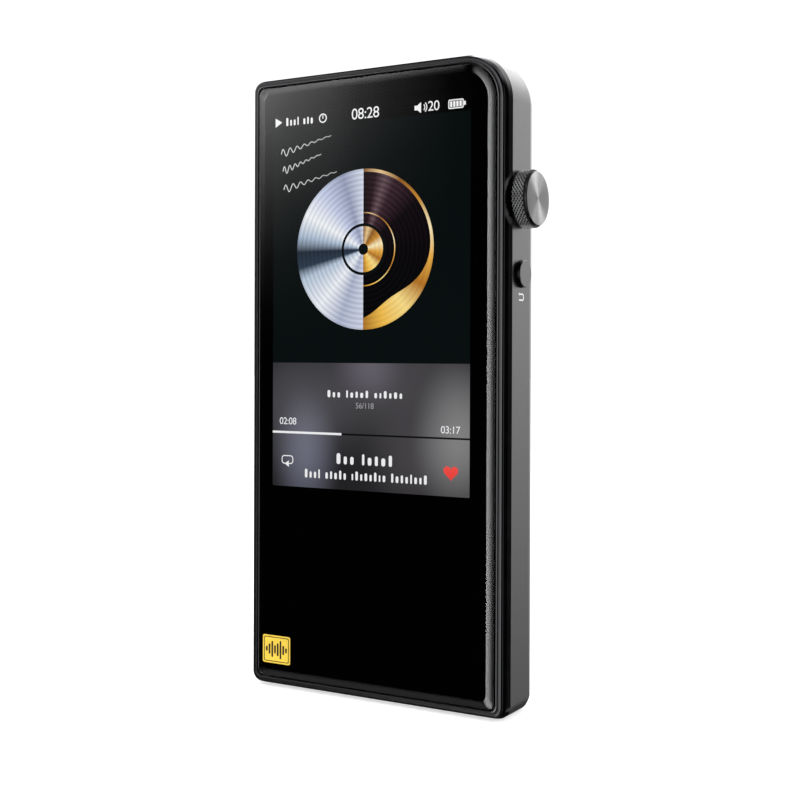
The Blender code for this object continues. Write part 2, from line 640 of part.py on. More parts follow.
def make_board():
    """The main board with its screws and the parts soldered to its back."""
    board = prism("main_board", (board_outline(),), BOARD_FRONT, BOARD_BACK, "Y", "circuit_board")
    head = BOARD_BACK + FIT
    for number, (x, z) in enumerate(SCREW_PLACES, 1):
        cut(board, rod(f"board_hole_{number}", (x, BOARD_FRONT - PAST, z), (x, BOARD_BACK + PAST, z),
                       SCREW_RADIUS + FIT, "Y", steps=BORE_STEPS))
        foot, top = WEB_BACK - SCREW_DEPTH, head + SCREW_HEAD_THICK
        turned(f"board_screw_{number}",
               ((0.0, top), (SCREW_HEAD_RADIUS - SCREW_HEAD_EDGE, top),
                (SCREW_HEAD_RADIUS, top - SCREW_HEAD_EDGE), (SCREW_HEAD_RADIUS, head),
                (SCREW_RADIUS, head), (SCREW_RADIUS, foot), (0.0, foot)),
               (x, 0.0, z), "Y", "steel", 16)
    for name, middle, size, finish in BOARD_PARTS:
        chip(name, middle, size, finish)
    for number in range(AMPLIFIER_COUNT):
        x = AMPLIFIER_FIRST_X + number * AMPLIFIER_PITCH
        chip(f"amplifier_{number + 1}", (x, AMPLIFIER_Z), AMPLIFIER_SIZE)
    can = chip("shield_can", SHIELD_MIDDLE, SHIELD_SIZE, "steel")
    (x, z), (width, height, thick) = SHIELD_MIDDLE, SHIELD_SIZE
    across, up = width / 2 - SHIELD_WALL, height / 2 - SHIELD_WALL
    cut(can, block("shield_can_inside", (x - across, BOARD_BACK - PAST, z - up),
                   (x + across, BOARD_BACK + FIT + thick - SHIELD_WALL, z + up), None))


def make_battery():
    """The battery beside the board's strip, its protection board, and the two leads to the main board."""
    block("battery", BATTERY_LOW, BATTERY_HIGH, "battery_foil", bevel=BATTERY_EDGE)
    block("battery_protection_board", PROTECTION_LOW, PROTECTION_HIGH, "circuit_board")
    start_y, start_z = LEAD_START
    end_z = BATTERY_PLUG_MIDDLE[1] + BATTERY_PLUG_SIZE[1] / 2 + ROOM
    for name, side in (("red", -0.5), ("black", 0.5)):
        x = BATTERY_PLUG_MIDDLE[0] + side * LEAD_SPREAD
        curve = bpy.data.curves.new("battery_lead_" + name, "CURVE")
        curve.dimensions = "3D"
        curve.bevel_depth = LEAD_RADIUS * MM
        curve.bevel_resolution = 2
        curve.use_fill_caps = True
        route = []
        for step in range(LEAD_STEPS + 1):
            share = step / LEAD_STEPS
            depth = start_y + LEAD_RISE * math.sin(math.pi * share)
            route.append((x, depth, start_z + (end_z - start_z) * share))
        spline = curve.splines.new("POLY")
        spline.points.add(len(route) - 1)
        for point, place in zip(spline.points, route):
            point.co = (*(Vector(place) * MM), 1.0)
        lead = bpy.data.objects.new("battery_lead_route_" + name, curve)
        settle(meshed(lead, "battery_lead_" + name), name + "_insulation")


clear_scene()
PARTS = new_collection("digital_audio_player")
CUTTERS = new_collection("cutters")
PLAYER = bpy.data.objects.new("player_origin", None)
PARTS.objects.link(PLAYER)

make_middle_frame()
make_face("front", -BODY_DEPTH / 2, 1.0)
make_face("back", BODY_DEPTH / 2, -1.0)
make_display()
make_wheel()
make_return_key()
make_sockets()
make_card_slot()
make_board()
make_battery()
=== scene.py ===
"""Looks of the digital audio player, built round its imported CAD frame.

Lengths are in millimetres until MM turns them into metres. +X is the side with the wheel, the display faces -Y
and the player stands on z = 0.
"""
import json
import math

import bmesh
import bpy
from mathutils import Matrix, Vector


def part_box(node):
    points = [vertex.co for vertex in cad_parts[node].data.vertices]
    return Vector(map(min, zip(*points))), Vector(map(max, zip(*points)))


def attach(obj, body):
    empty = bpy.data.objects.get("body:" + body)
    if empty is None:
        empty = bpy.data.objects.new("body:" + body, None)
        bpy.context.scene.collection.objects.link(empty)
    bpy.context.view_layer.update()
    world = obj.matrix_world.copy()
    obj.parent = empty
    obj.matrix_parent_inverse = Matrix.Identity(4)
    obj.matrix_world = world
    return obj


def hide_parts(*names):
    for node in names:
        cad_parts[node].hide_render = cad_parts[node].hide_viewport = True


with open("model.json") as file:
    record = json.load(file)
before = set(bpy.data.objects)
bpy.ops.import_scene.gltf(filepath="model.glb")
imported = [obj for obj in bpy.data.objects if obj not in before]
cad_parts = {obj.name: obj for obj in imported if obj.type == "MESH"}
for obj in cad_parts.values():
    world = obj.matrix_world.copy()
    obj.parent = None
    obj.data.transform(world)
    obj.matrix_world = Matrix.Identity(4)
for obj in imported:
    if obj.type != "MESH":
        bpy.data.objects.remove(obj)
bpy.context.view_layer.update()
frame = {"nodes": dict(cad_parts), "record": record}

MM = 0.001
BODY = "player_body"
WHEEL = "wheel"
KEY = "return_key"


def span(node):
    """A CAD node's lowest and highest corner in millimetres."""
    low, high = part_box(node)
    return low / MM, high / MM


FRAME_LOW, FRAME_HIGH = span("middle_frame")
HALF_WIDTH = FRAME_HIGH.x
HEIGHT = FRAME_HIGH.z
FRONT = span("front_glass")[0].y
BACK = span("back_glass")[1].y

# Edge section: depths below the glass face and insets from the body's outline
SIDE_BAND = 7.0
CHAMFER_INSET = 0.66
CHAMFER_ROUNDING = 0.4
RIM_DROP = 0.54
LAND_INSET = 1.38
WALL = 1.9
GLASS_INSET = 2.05
GLASS_THICK = 0.8
GLASS_CURVE_WIDTH = 1.36
GLASS_CURVE_SLOPES = (4.0, 16.0)
WHEEL_CORNER = 8.25
PLAIN_CORNER = 2.5
LEAST_CORNER = 1.2
CORNER_STEPS = 20

# The trim ring between the case and the glass: insets, and depths of its outer crown, lip, flange and foot
TRIM_OUTER = 1.45
TRIM_INNER = 1.7
TRIM_FLANGE_INNER = 3.1
TRIM_DROPS = (0.33, 0.28, 1.45, 1.9)

# Wheel, key and sockets
WHEEL_HOLE_RADIUS = 2.3
KNURL_TEETH = 38
KNURL_ROWS = 15
KNURL_DEPTH = 0.2
DISC_SLOPE = 0.1
DISC_PLATE = 0.42
KEY_RADIUS = 2.3
KEY_HOLE_RADIUS = 2.37
KEY_EDGE = 0.07
ARROW_DROP = 3.95
SOCKET_NOSES = {"headphone_jack": 2.5, "balanced_jack": 1.95}
SOCKET_BORES = {"headphone_jack": 1.8, "balanced_jack": 1.3}
SOCKET_HOUSING_DEPTHS = {"headphone_jack": 5.0, "balanced_jack": 4.4}
SOCKET_Y = 0.6

SHARP_ANGLE = math.radians(32.0)
WELD_DISTANCE = 0.000001

# The display behind the glass
PANEL_BORDER_LEFT = 1.75
PANEL_BORDER_RIGHT = 1.0
PANEL_BORDER_TOP = 1.2
PANEL_FOOT = 2.4
PANEL_LOW, PANEL_HIGH = span("display_panel")
SCREEN_LEFT = PANEL_LOW.x + PANEL_BORDER_LEFT
SCREEN_RIGHT = PANEL_HIGH.x - PANEL_BORDER_RIGHT
SCREEN_BOTTOM = PANEL_LOW.z + PANEL_FOOT
SCREEN_TOP = PANEL_HIGH.z - PANEL_BORDER_TOP


# ----- node materials

class Nodes:
    """A small builder for one material's node tree."""

    def __init__(self, tree):
        self.tree = tree

    def add(self, kind, **settings):
        node = self.tree.nodes.new(kind)
        for name, value in settings.items():
            setattr(node, name, value)
        return node

    def feed(self, socket, value):
        """Link an output to a socket, or set the socket's own value."""
        if isinstance(value, bpy.types.NodeSocket):
            self.tree.links.new(value, socket)
        else:
            socket.default_value = value

    def vector(self, operation, first, second):
        node = self.add("ShaderNodeVectorMath", operation=operation)
        self.feed(node.inputs[0], first)
        self.feed(node.inputs[1], second)
        return node.outputs[0]

    def scaled(self, vector, factor):
        node = self.add("ShaderNodeVectorMath", operation="SCALE")
        self.feed(node.inputs[0], vector)
        self.feed(node.inputs["Scale"], factor)
        return node.outputs[0]

    def place(self):
        """Position on the object, in millimetres."""
        return self.scaled(self.add("ShaderNodeTexCoord").outputs["Object"], 1.0 / MM)

    def split(self, vector):
        """The X, Y and Z of a vector."""
        parts = self.add("ShaderNodeSeparateXYZ")
        self.feed(parts.inputs[0], vector)
        return parts.outputs

    def hypotenuse(self, first, second):
        squares = [self.maths("POWER", side, 2.0) for side in (first, second)]
        return self.maths("SQRT", self.maths("ADD", *squares))

    def radius(self, place):
        """Distance from the X axis of the object."""
        parts = self.split(place)
        return self.hypotenuse(parts["Y"], parts["Z"])

    def maths(self, operation, first, second=0.0, third=0.0):
        node = self.add("ShaderNodeMath", operation=operation)
        for socket, value in zip(node.inputs, (first, second, third)):
            self.feed(socket, value)
        return node.outputs[0]

    def noise(self, size, detail=2.0, vector=None, stretch=None):
        """Noise with features of a size in millimetres."""
        vector = vector or self.place()
        if stretch:
            vector = self.vector("MULTIPLY", vector, stretch)
        node = self.add("ShaderNodeTexNoise")
        self.feed(node.inputs["Vector"], vector)
        node.inputs["Scale"].default_value = 1.0 / size
        node.inputs["Detail"].default_value = detail
        return node.outputs["Fac"]

    def ramp(self, factor, stops):
        """Colours between stops given as (position, colour)."""
        node = self.add("ShaderNodeValToRGB")
        elements = node.color_ramp.elements
        while len(elements) < len(stops):
            elements.new(0.5)
        for element, (position, colour) in zip(elements, stops):
            element.position = position
            element.color = (*colour, 1.0)
        self.feed(node.inputs["Fac"], factor)
        return node.outputs["Color"]

    def remap(self, value, low, high, new_low, new_high, smooth=False):
        node = self.add("ShaderNodeMapRange")
        if smooth:
            node.interpolation_type = "SMOOTHSTEP"
        for name, number in zip(("From Min", "From Max", "To Min", "To Max"), (low, high, new_low, new_high)):
            self.feed(node.inputs[name], number)
        self.feed(node.inputs["Value"], value)
        return node.outputs[0]

    def bump(self, height, strength, depth):
        """A normal from a height between 0 and 1; depth in millimetres."""
        node = self.add("ShaderNodeBump")
        node.inputs["Strength"].default_value = strength
        node.inputs["Distance"].default_value = depth * MM
        self.feed(node.inputs["Height"], height)
        return node.outputs["Normal"]


def material(name, **sockets):
    """A Principled material with plain socket values; returns it, its builder and its shader."""
    made = bpy.data.materials.new(name)
    made.use_nodes = True
    shader = made.node_tree.nodes["Principled BSDF"]
    for socket, value in sockets.items():
        shader.inputs[socket.replace("_", " ")].default_value = value
    return made, Nodes(made.node_tree), shader


def two_tone(nodes, grain, colour, low, high):
    """A colour that varies with a grain between two multiples of itself."""
    dark = tuple(channel * low for channel in colour)
    light = tuple(min(channel * high, 1.0) for channel in colour)
    return nodes.ramp(grain, ((0.3, dark), (0.7, light)))


def tinted(name, colour, spread, size, roughness, rough_spread=0.05, bump=0.0, stretch=None, **sockets):
    """A surface whose colour, shine and relief vary with fine noise."""
    made, nodes, shader = material(name, **sockets)
    grain = nodes.noise(size, 3.0, stretch=stretch)
    nodes.feed(shader.inputs["Base Color"], two_tone(nodes, grain, colour, 1.0 - spread, 1.0 + spread))
    patches = nodes.noise(size * 9.0)
    nodes.feed(shader.inputs["Roughness"],
               nodes.remap(patches, 0.3, 0.7, roughness - rough_spread, roughness + rough_spread))
    if bump:
        nodes.feed(shader.inputs["Normal"], nodes.bump(grain, 0.5, bump))
    return made


def glass_material():
    """Clear cover glass with the faintest smears."""
    made, nodes, shader = material("cover_glass", IOR=1.5, Transmission_Weight=1.0)
    smear = nodes.noise(14.0, 4.0, stretch=(1.0, 1.0, 0.35))
    nodes.feed(shader.inputs["Roughness"], nodes.remap(smear, 0.45, 0.8, 0.0, 0.02))
    tint = nodes.ramp(smear, ((0.4, (0.985, 0.99, 0.99)), (0.8, (0.97, 0.98, 0.98))))
    nodes.feed(shader.inputs["Base Color"], tint)
    return made


def spun_material(name, colour, ring, roughness, anisotropy):
    """Metal turned on a lathe: rings round X, and a shine that fans out from the middle."""
    made, nodes, shader = material(name, Metallic=1.0, Anisotropic=anisotropy, Anisotropic_Rotation=0.25)
    strand = nodes.add("ShaderNodeCombineXYZ")
    nodes.feed(strand.inputs["X"], nodes.radius(nodes.place()))
    grain = nodes.noise(ring, 3.0, vector=strand.outputs[0])
    nodes.feed(shader.inputs["Base Color"], two_tone(nodes, grain, colour, 0.8, 1.15))
    nodes.feed(shader.inputs["Roughness"], nodes.remap(grain, 0.3, 0.7, roughness - 0.05, roughness + 0.05))
    nodes.feed(shader.inputs["Normal"], nodes.bump(grain, 0.25, 0.004))
    tangent = nodes.add("ShaderNodeTangent", direction_type="RADIAL", axis="X")
    nodes.feed(shader.inputs["Tangent"], tangent.outputs[0])
    return made


def knurl_material(low, high):
    """Dark knurled metal, near-black in the pits as painted shade and bright on the ridges as painted
    highlight, graded from the pits' radius to the ridges' in millimetres.
    """
    made, nodes, shader = material("knurl_painted_shade_highlight", Metallic=1.0)
    place = nodes.place()
    # Noise that breaks up the edge between the painted shade in the pits and the painted highlight on the
    # ridges
    shade_and_sheen_noise = nodes.remap(nodes.noise(0.3, 2.0, vector=place), 0.2, 0.8, -0.1, 0.1)
    height = nodes.maths("ADD", nodes.remap(nodes.radius(place), low, high, 0.0, 1.0), shade_and_sheen_noise)
    nodes.feed(shader.inputs["Base Color"], nodes.ramp(height, (
        (0.3, (0.008, 0.008, 0.008)), (0.5, (0.16, 0.16, 0.162)), (0.75, (0.66, 0.66, 0.665)))))
    nodes.feed(shader.inputs["Roughness"], nodes.remap(height, 0.0, 1.0, 0.5, 0.32))
    return made


def lit_shader(name):
    """A black material that only shines; its emission colour is still to be fed."""
    return material(name, Roughness=0.6, Base_Color=(0.0, 0.0, 0.0, 1.0), Specular_IOR_Level=0.0,
                    Emission_Strength=1.0)


def lit_material(name, first, last, axis="X", low=SCREEN_LEFT, high=SCREEN_RIGHT):
    """A lit area of the display: two colours blended along one axis, in millimetres, with soft blotches."""
    made, nodes, shader = lit_shader(name)
    place = nodes.place()
    along = nodes.remap(nodes.split(place)[axis], low, high, 0.0, 1.0)
    soft = nodes.remap(nodes.noise(9.0, 1.0, vector=place), 0.0, 1.0, -0.1, 0.1)
    colours = nodes.ramp(nodes.maths("ADD", along, soft), ((0.0, first), (1.0, last)))
    nodes.feed(shader.inputs["Emission Color"], colours)
    return made


# ----- mesh building

def placed(name, data):
    """A new object in the scene."""
    piece = bpy.data.objects.new(name, data)
    bpy.context.scene.collection.objects.link(piece)
    return piece


def result_mesh(piece):
    """The mesh that a curve, a text or a piece with modifiers comes to."""
    bpy.context.view_layer.update()
    return bpy.data.meshes.new_from_object(piece.evaluated_get(bpy.context.evaluated_depsgraph_get()))


def keep(piece, body, slot, *finishes, replaces=()):
    """Give a piece its materials and make it ride on a CAD body."""
    for finish in finishes:
        piece.data.materials.append(finish)
    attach(piece, body)
    if replaces:
        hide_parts(*replaces)
    return piece


def refinish(node, finish):
    """A CAD node's only material."""
    node.data.materials.clear()
    node.data.materials.append(finish)


def from_bmesh(name, shape, smooth=True):
    """An object from a bmesh in millimetres."""
    bmesh.ops.scale(shape, vec=(MM, MM, MM), verts=shape.verts[:])
    bmesh.ops.recalc_face_normals(shape, faces=shape.faces[:])
    mesh = bpy.data.meshes.new(name)
    shape.to_mesh(mesh)
    shape.free()
    if smooth:
        mesh.shade_smooth()
        mesh.set_sharp_from_angle(angle=SHARP_ANGLE)
    return placed(name, mesh)


def even_shading(piece):
    """Keep the flat faces flat beside their rounded edges."""
    weighted = piece.modifiers.new("even shading", "WEIGHTED_NORMAL")
    weighted.keep_sharp = True
    return piece


def rounded_outline(low, high, radii, steps=CORNER_STEPS):
    """Anticlockwise points of a rectangle whose corners, from the lower right, have the given radii."""
    corners = ((high[0], low[1], 1, -1), (high[0], high[1], 1, 1),
               (low[0], high[1], -1, 1), (low[0], low[1], -1, -1))
    points = []
    for turn, ((across, up, side, end), radius) in enumerate(zip(corners, radii)):
        for step in range(steps + 1):
            angle = math.radians(90.0 * (turn - 1 + step / steps))
            points.append((across - side * radius + radius * math.cos(angle),
                           up - end * radius + radius * math.sin(angle)))
    return points


def rectangle(left, bottom, right, top, radius=0.0):
    if radius:
        return rounded_outline((left, bottom), (right, top), (radius,) * 4, 6)
    return [(left, bottom), (right, bottom), (right, top), (left, top)]


def circle(middle, radius, steps=64, start=0.0, end=360.0):
    """Points of a circle or an arc, angles in degrees from +X."""
    closed = abs(end - start) >= 360.0
    count = steps if closed else steps + 1
    return [(middle[0] + radius * math.cos(math.radians(start + (end - start) * step / steps)),
             middle[1] + radius * math.sin(math.radians(start + (end - start) * step / steps)))
            for step in range(count)]


def sector(middle, inner, outer, start, end):
    """A piece of a ring between two angles."""
    return circle(middle, outer, 48, start, end) + circle(middle, inner, 48, start, end)[::-1]


def ribbon(path, width):
    """The outline of a line of even width along a path."""
    left, right = [], []
    for index, here in enumerate(path):
        before = Vector(path[max(index - 1, 0)])
        after = Vector(path[min(index + 1, len(path) - 1)])
        along = (after - before).normalized()
        side = Vector((-along.y, along.x)) * width / 2
        left.append(tuple(Vector(here) + side))
        right.append(tuple(Vector(here) - side))
    return left + right[::-1]


def body_outline(inset):
    """The body's front outline as (x, z), moved inwards; only the corner by the wheel is large."""
    radii = [max(radius - inset, LEAST_CORNER)
             for radius in (PLAIN_CORNER, WHEEL_CORNER, PLAIN_CORNER, PLAIN_CORNER)]
    half = HALF_WIDTH - inset
    return rounded_outline((-half, inset), (half, HEIGHT - inset), radii)


def rounded_section(corners, steps=4):
    """A closed section from (inset, y, radius) corners, each rounded by an arc."""
    points = []
    for index, (inset, depth, radius) in enumerate(corners):
        here = Vector((inset, depth))
        if radius <= 0.0:
            points.append(tuple(here))
            continue
        before = (Vector(corners[index - 1][:2]) - here).normalized()
        after = (Vector(corners[(index + 1) % len(corners)][:2]) - here).normalized()
        half_angle = before.angle(after) / 2
        reach = radius / math.tan(half_angle)
        middle = here + (before + after).normalized() * (radius / math.sin(half_angle))
        first = here + before * reach - middle
        turn = first.angle_signed(here + after * reach - middle)
        for step in range(steps + 1):
            arm = first.copy()
            arm.rotate(Matrix.Rotation(-turn * step / steps, 2))
            points.append(tuple(middle + arm))
    return points


def sweep(name, section, closed=True, finish_at=None):
    """A section swept round the body; finish_at gives a face's material index from its (inset, y)."""
    shape = bmesh.new()
    loops = [[shape.verts.new((x, depth, z)) for x, z in body_outline(inset)] for inset, depth in section]
    pairs = [(index, (index + 1) % len(loops)) for index in range(len(loops) if closed else len(loops) - 1)]
    for near, far in pairs:
        middle = [(a + b) / 2 for a, b in zip(section[near], section[far])]
        for index, vertex in enumerate(loops[near]):
            face = shape.faces.new((loops[near][index - 1], vertex, loops[far][index], loops[far][index - 1]))
            face.material_index = finish_at(*middle) if finish_at else 0
    if not closed:
        shape.faces.new(loops[0])
        shape.faces.new(list(reversed(loops[-1])))
    return from_bmesh(name, shape)


def turned(name, profile, centre, axis="X", steps=96, flip=False):
    """A turned piece from (radius, height) points down its outer side; the height runs along the axis.

    A flipped piece is turned upside down about its place.
    """
    shape = bmesh.new()
    rings = []
    for radius, height in profile:
        if radius == 0.0:
            rings.append([shape.verts.new((0.0, 0.0, height))])
            continue
        rings.append([shape.verts.new((x, y, height)) for x, y in circle((0.0, 0.0), radius, steps)])
    pairs = list(zip(rings, rings[1:]))
    if profile[0][0] > 0.0:
        pairs.append((rings[-1], rings[0]))
    for upper, lower in pairs:
        for step in range(steps):
            corners = [upper[(step + 1) % len(upper)], upper[step % len(upper)], lower[step % len(lower)],
                       lower[(step + 1) % len(lower)]]
            shape.faces.new(list(dict.fromkeys(corners)))
    if axis == "X":
        bmesh.ops.transform(shape, matrix=Matrix.Rotation(math.pi / 2, 4, "Y"), verts=shape.verts[:])
    piece = from_bmesh(name, shape)
    piece.location = Vector(centre) * MM
    if flip:
        piece.rotation_euler = (math.pi, 0.0, 0.0)
    return piece


def prism(name, outlines, start, end, axis="Y"):
    """Flat outlines, the later ones holes in the first where they lie inside it, made solid along an axis."""
    curve = bpy.data.curves.new(name, "CURVE")
    curve.dimensions = "2D"
    curve.fill_mode = "BOTH"
    curve.extrude = (end - start) / 2 * MM
    for outline in outlines:
        spline = curve.splines.new("POLY")
        spline.points.add(len(outline) - 1)
        for point, (across, up) in zip(spline.points, outline):
            point.co = (across * MM, up * MM, 0.0, 1.0)
        spline.use_cyclic_u = True
    flat = placed(name + "_flat", curve)
    flat.rotation_euler = {"X": (math.pi / 2, 0, math.pi / 2), "Y": (math.pi / 2, 0, 0), "Z": (0, 0, 0)}[axis]
    flat.location["XYZ".index(axis)] = (start + end) / 2 * MM
    return meshed(flat, name)


def meshed(flat, name):
    """The welded mesh of a curve or text object, with the object's place taken into the mesh."""
    mesh = result_mesh(flat)
    mesh.transform(flat.matrix_world)
    mesh.name = name
    shape = bmesh.new()
    shape.from_mesh(mesh)
    bmesh.ops.remove_doubles(shape, verts=shape.verts[:], dist=WELD_DISTANCE)
    bmesh.ops.recalc_face_normals(shape, faces=shape.faces[:])
    shape.to_mesh(mesh)
    shape.free()
    mesh.materials.clear()
    bpy.data.objects.remove(flat, do_unlink=True)
    return placed(name, mesh)


def block(name, low, high, bevel):
    """A box, with rounded edges if it has a bevel."""
    shape = bmesh.new()
    bmesh.ops.create_cube(shape, size=1.0)
    low, high = Vector(low), Vector(high)
    bmesh.ops.scale(shape, vec=high - low, verts=shape.verts[:])
    bmesh.ops.translate(shape, vec=(low + high) / 2, verts=shape.verts[:])
    if bevel:
        bmesh.ops.bevel(shape, geom=shape.edges[:] + shape.verts[:], offset=bevel, segments=3, profile=0.5,
                        affect="EDGES", clamp_overlap=True)
    return from_bmesh(name, shape)


def carve(piece, tools, operation="DIFFERENCE"):
    """Cut tools from a piece, or join them to it, and drop the tools."""
    for tool in tools:
        change = piece.modifiers.new(tool.name, "BOOLEAN")
        change.operation = operation
        change.solver = "EXACT"
        change.object = tool
    mesh = result_mesh(piece)
    piece.modifiers.clear()
    piece.data = mesh
    mesh.set_sharp_from_angle(angle=SHARP_ANGLE)
    for tool in tools:
        bpy.data.objects.remove(tool, do_unlink=True)
    return piece


def gather(name, pieces):
    """One object from several that share a finish."""
    shape = bmesh.new()
    for piece in pieces:
        mesh = piece.data.copy()
        mesh.transform(piece.matrix_world)
        shape.from_mesh(mesh)
        bpy.data.meshes.remove(mesh)
        bpy.data.objects.remove(piece, do_unlink=True)
    mesh = bpy.data.meshes.new(name)
    shape.to_mesh(mesh)
    shape.free()
    return placed(name, mesh)


# ----- the case

def make_case():
    """The machined frame with its openings; returns its satin finish."""
    satin = tinted("anodised_satin", (0.17, 0.17, 0.172), 0.06, 0.09, 0.30, 0.02, bump=0.004, Metallic=1.0)
    polished = tinted("anodised_polished", (0.035, 0.035, 0.037), 0.05, 0.3, 0.14, 0.02, Metallic=1.0)
    rim = BACK - RIM_DROP
    band = SIDE_BAND / 2
    pocket = BACK - 2.1
    middle = (band + rim) / 2
    land_start = CHAMFER_INSET + CHAMFER_ROUNDING * 0.55
    half_section = ((0.0, band, 0.12), (CHAMFER_INSET * 0.43, middle, 2.0),
                    (CHAMFER_INSET, rim - 0.02, CHAMFER_ROUNDING), (LAND_INSET, rim, 0.04),
                    (LAND_INSET, pocket, 0.0), (WALL, pocket, 0.0))
    section = list(half_section) + [(inset, -depth, radius) for inset, depth, radius in reversed(half_section)]

    def finish_at(inset, depth):
        """Satin on the flat side and inside, polished on the slope, fine satin on the land beside the glass."""
        if abs(depth) < band + 0.01 or inset > LAND_INSET - 0.01:
            return 0
        return 1 if inset < land_start else 2

    case = sweep("case_frame", rounded_section(section), finish_at=finish_at)
    wheel_z = axis_height("volume_knob")
    key_z = axis_height("return_button")
    deep = HALF_WIDTH - WALL - 1.0
    tools = [bore("wheel_hole", WHEEL_HOLE_RADIUS, (deep, 0, wheel_z), "X", HALF_WIDTH - deep),
             bore("key_hole", KEY_HOLE_RADIUS, (deep, 0, key_z), "X", HALF_WIDTH - deep, 0.03)]
    for node, radius in SOCKET_NOSES.items():
        place = nose_of(node)
        tools.append(bore(node + "_hole", radius + 0.12, (place.x, place.y, WALL + 1.0), "-Z", WALL + 1.0))
    low, high = span("usb_c_shell")
    tools.append(prism("usb_hole", (stadium(low, high, 0.14, "xy"),), -1.0, WALL + 1.0, "Z"))
    low, high = card_mouth()
    mouth = stadium(low, high, 0.0, "yz")
    tools.append(prism("card_hole", (mouth,), -HALF_WIDTH - 1.0, -HALF_WIDTH + WALL + 0.5, "X"))
    carve(case, tools)
    land = tinted("anodised_land", (0.028, 0.028, 0.0295), 0.05, 0.2, 0.3, 0.02, Metallic=1.0)
    keep(even_shading(case), BODY, "frame_metal", satin, polished, land, replaces=("middle_frame",))
    return satin


def make_faces():
    """The glass of both faces with its bezel, its black print and a finish for its tape."""
    gloss = tinted("bezel_gloss", (0.012, 0.012, 0.013), 0.1, 0.5, 0.16, 0.03)
    glass = glass_material()
    ink = tinted("black_ink", (0.0006, 0.0006, 0.0006), 0.2, 0.8, 0.6, Specular_IOR_Level=0.0)
    tape = tinted("foam_tape", (0.02, 0.02, 0.02), 0.3, 0.2, 0.8, bump=0.01)
    for side, face, inwards in (("front", FRONT, 1.0), ("back", BACK, -1.0)):
        crown, lip, flange, foot = (face + inwards * drop for drop in TRIM_DROPS)
        ring = ((TRIM_OUTER, crown, 0.07), (TRIM_INNER, lip, 0.05), (TRIM_INNER, flange, 0.0),
                (TRIM_FLANGE_INNER, flange, 0.0), (TRIM_FLANGE_INNER, foot, 0.0), (TRIM_OUTER, foot, 0.0))
        bezel = sweep(side + "_trim", rounded_section(ring))
        keep(even_shading(bezel), BODY, "bezel_plastic", gloss, replaces=(side + "_bezel",))
        pane = sweep(side + "_pane", glass_section(face, inwards), closed=False)
        keep(even_shading(pane), BODY, "cover_glass", glass, replaces=(side + "_glass",))
        near = face + inwards * (GLASS_THICK - 0.06)
        far = face + inwards * (GLASS_THICK + 0.02)
        window = []
        if side == "front":
            low, high = (SCREEN_LEFT, SCREEN_BOTTOM), (SCREEN_RIGHT, SCREEN_TOP)
            window.append(rounded_outline(low, high, (0.15,) * 4, 3))
        outlines = [body_outline(GLASS_INSET + 0.06)] + window
        mask = prism(side + "_ink", outlines, min(near, far), max(near, far))
        keep(mask, BODY, "bezel_plastic", ink)
        refinish(frame["nodes"][side + "_adhesive"], tape)


def glass_section(face, inwards):
    """Cover glass from its flat face down its curved edge to its back, as an open section."""
    steps = 10
    first, last = GLASS_CURVE_SLOPES
    stride = GLASS_CURVE_WIDTH / steps
    inset, drop = GLASS_INSET + GLASS_CURVE_WIDTH, 0.0
    points = [(inset, face)]
    for step in range(steps):
        slope = math.radians(first + (last - first) * (step + 0.5) / steps)
        inset -= stride
        drop += stride * math.tan(slope)
        points.append((inset, face + inwards * drop))
    points.append((GLASS_INSET - 0.04, face + inwards * (drop + 0.06)))
    points.append((GLASS_INSET - 0.04, face + inwards * (GLASS_THICK - 0.08)))
    points.append((GLASS_INSET + 0.06, face + inwards * GLASS_THICK))
    return points


def axis_height(node):
    """Height of a round piece's axis."""
    low, high = span(node)
    return (low.z + high.z) / 2


def nose_of(node):
    """Where a socket's nose comes through the underside."""
    low, high = span(node)
    return Vector(((low.x + high.x) / 2, SOCKET_Y, low.z))


def card_mouth():
    """The card opening's corners in the left side."""
    low, high = span("card_slot")
    return Vector((low.x, low.y + 0.1, low.z + 0.3)), Vector((high.x, high.y - 0.1, high.z - 0.3))


def stadium(low, high, margin, plane):
    """A round-ended outline round a box seen in a plane."""
    first, second = plane
    start = (getattr(low, first) - margin, getattr(low, second) - margin)
    end = (getattr(high, first) + margin, getattr(high, second) + margin)
    radius = min(end[0] - start[0], end[1] - start[1]) / 2 - 0.01
    return rounded_outline(start, end, (radius,) * 4, 12)


def bore(name, radius, start, direction, depth, lead=0.15):
    """A hole's cutter from the inside out, with a small countersink where it meets the surface."""
    profile = [(0.0, depth + 1.0), (radius + lead + 1.0, depth + 1.0), (radius, depth - lead), (radius, 0.0),
               (0.0, 0.0)]
    return turned(name, profile, start, direction[-1], 64, flip=direction.startswith("-"))


# ----- wheel and key

def knurled_side(shape, radius, start, end):
    """The raised lattice round the wheel's side; returns its ring at the start and its ring at the end."""
    columns, rows = KNURL_TEETH * 4, KNURL_ROWS
    grid = []
    for row in range(rows + 1):
        along = start + (end - start) * row / rows
        ring = []
        for column in range(columns):
            height = max(ridge((column + row) % 4), ridge((column - row) % 4))
            reach = radius - KNURL_DEPTH * (1.0 - height)
            angle = math.tau * column / columns
            ring.append(shape.verts.new((along, reach * math.cos(angle), reach * math.sin(angle))))
        grid.append(ring)
    for row in range(rows):
        for column in range(columns):
            a, b = grid[row][column], grid[row][(column + 1) % columns]
            c, d = grid[row + 1][(column + 1) % columns], grid[row + 1][column]
            faces = ((a, b, c), (a, c, d)) if (column - row) % 2 == 0 else ((a, b, d), (b, c, d))
            for face in faces:
                shape.faces.new(face)
    return grid[0], grid[-1]


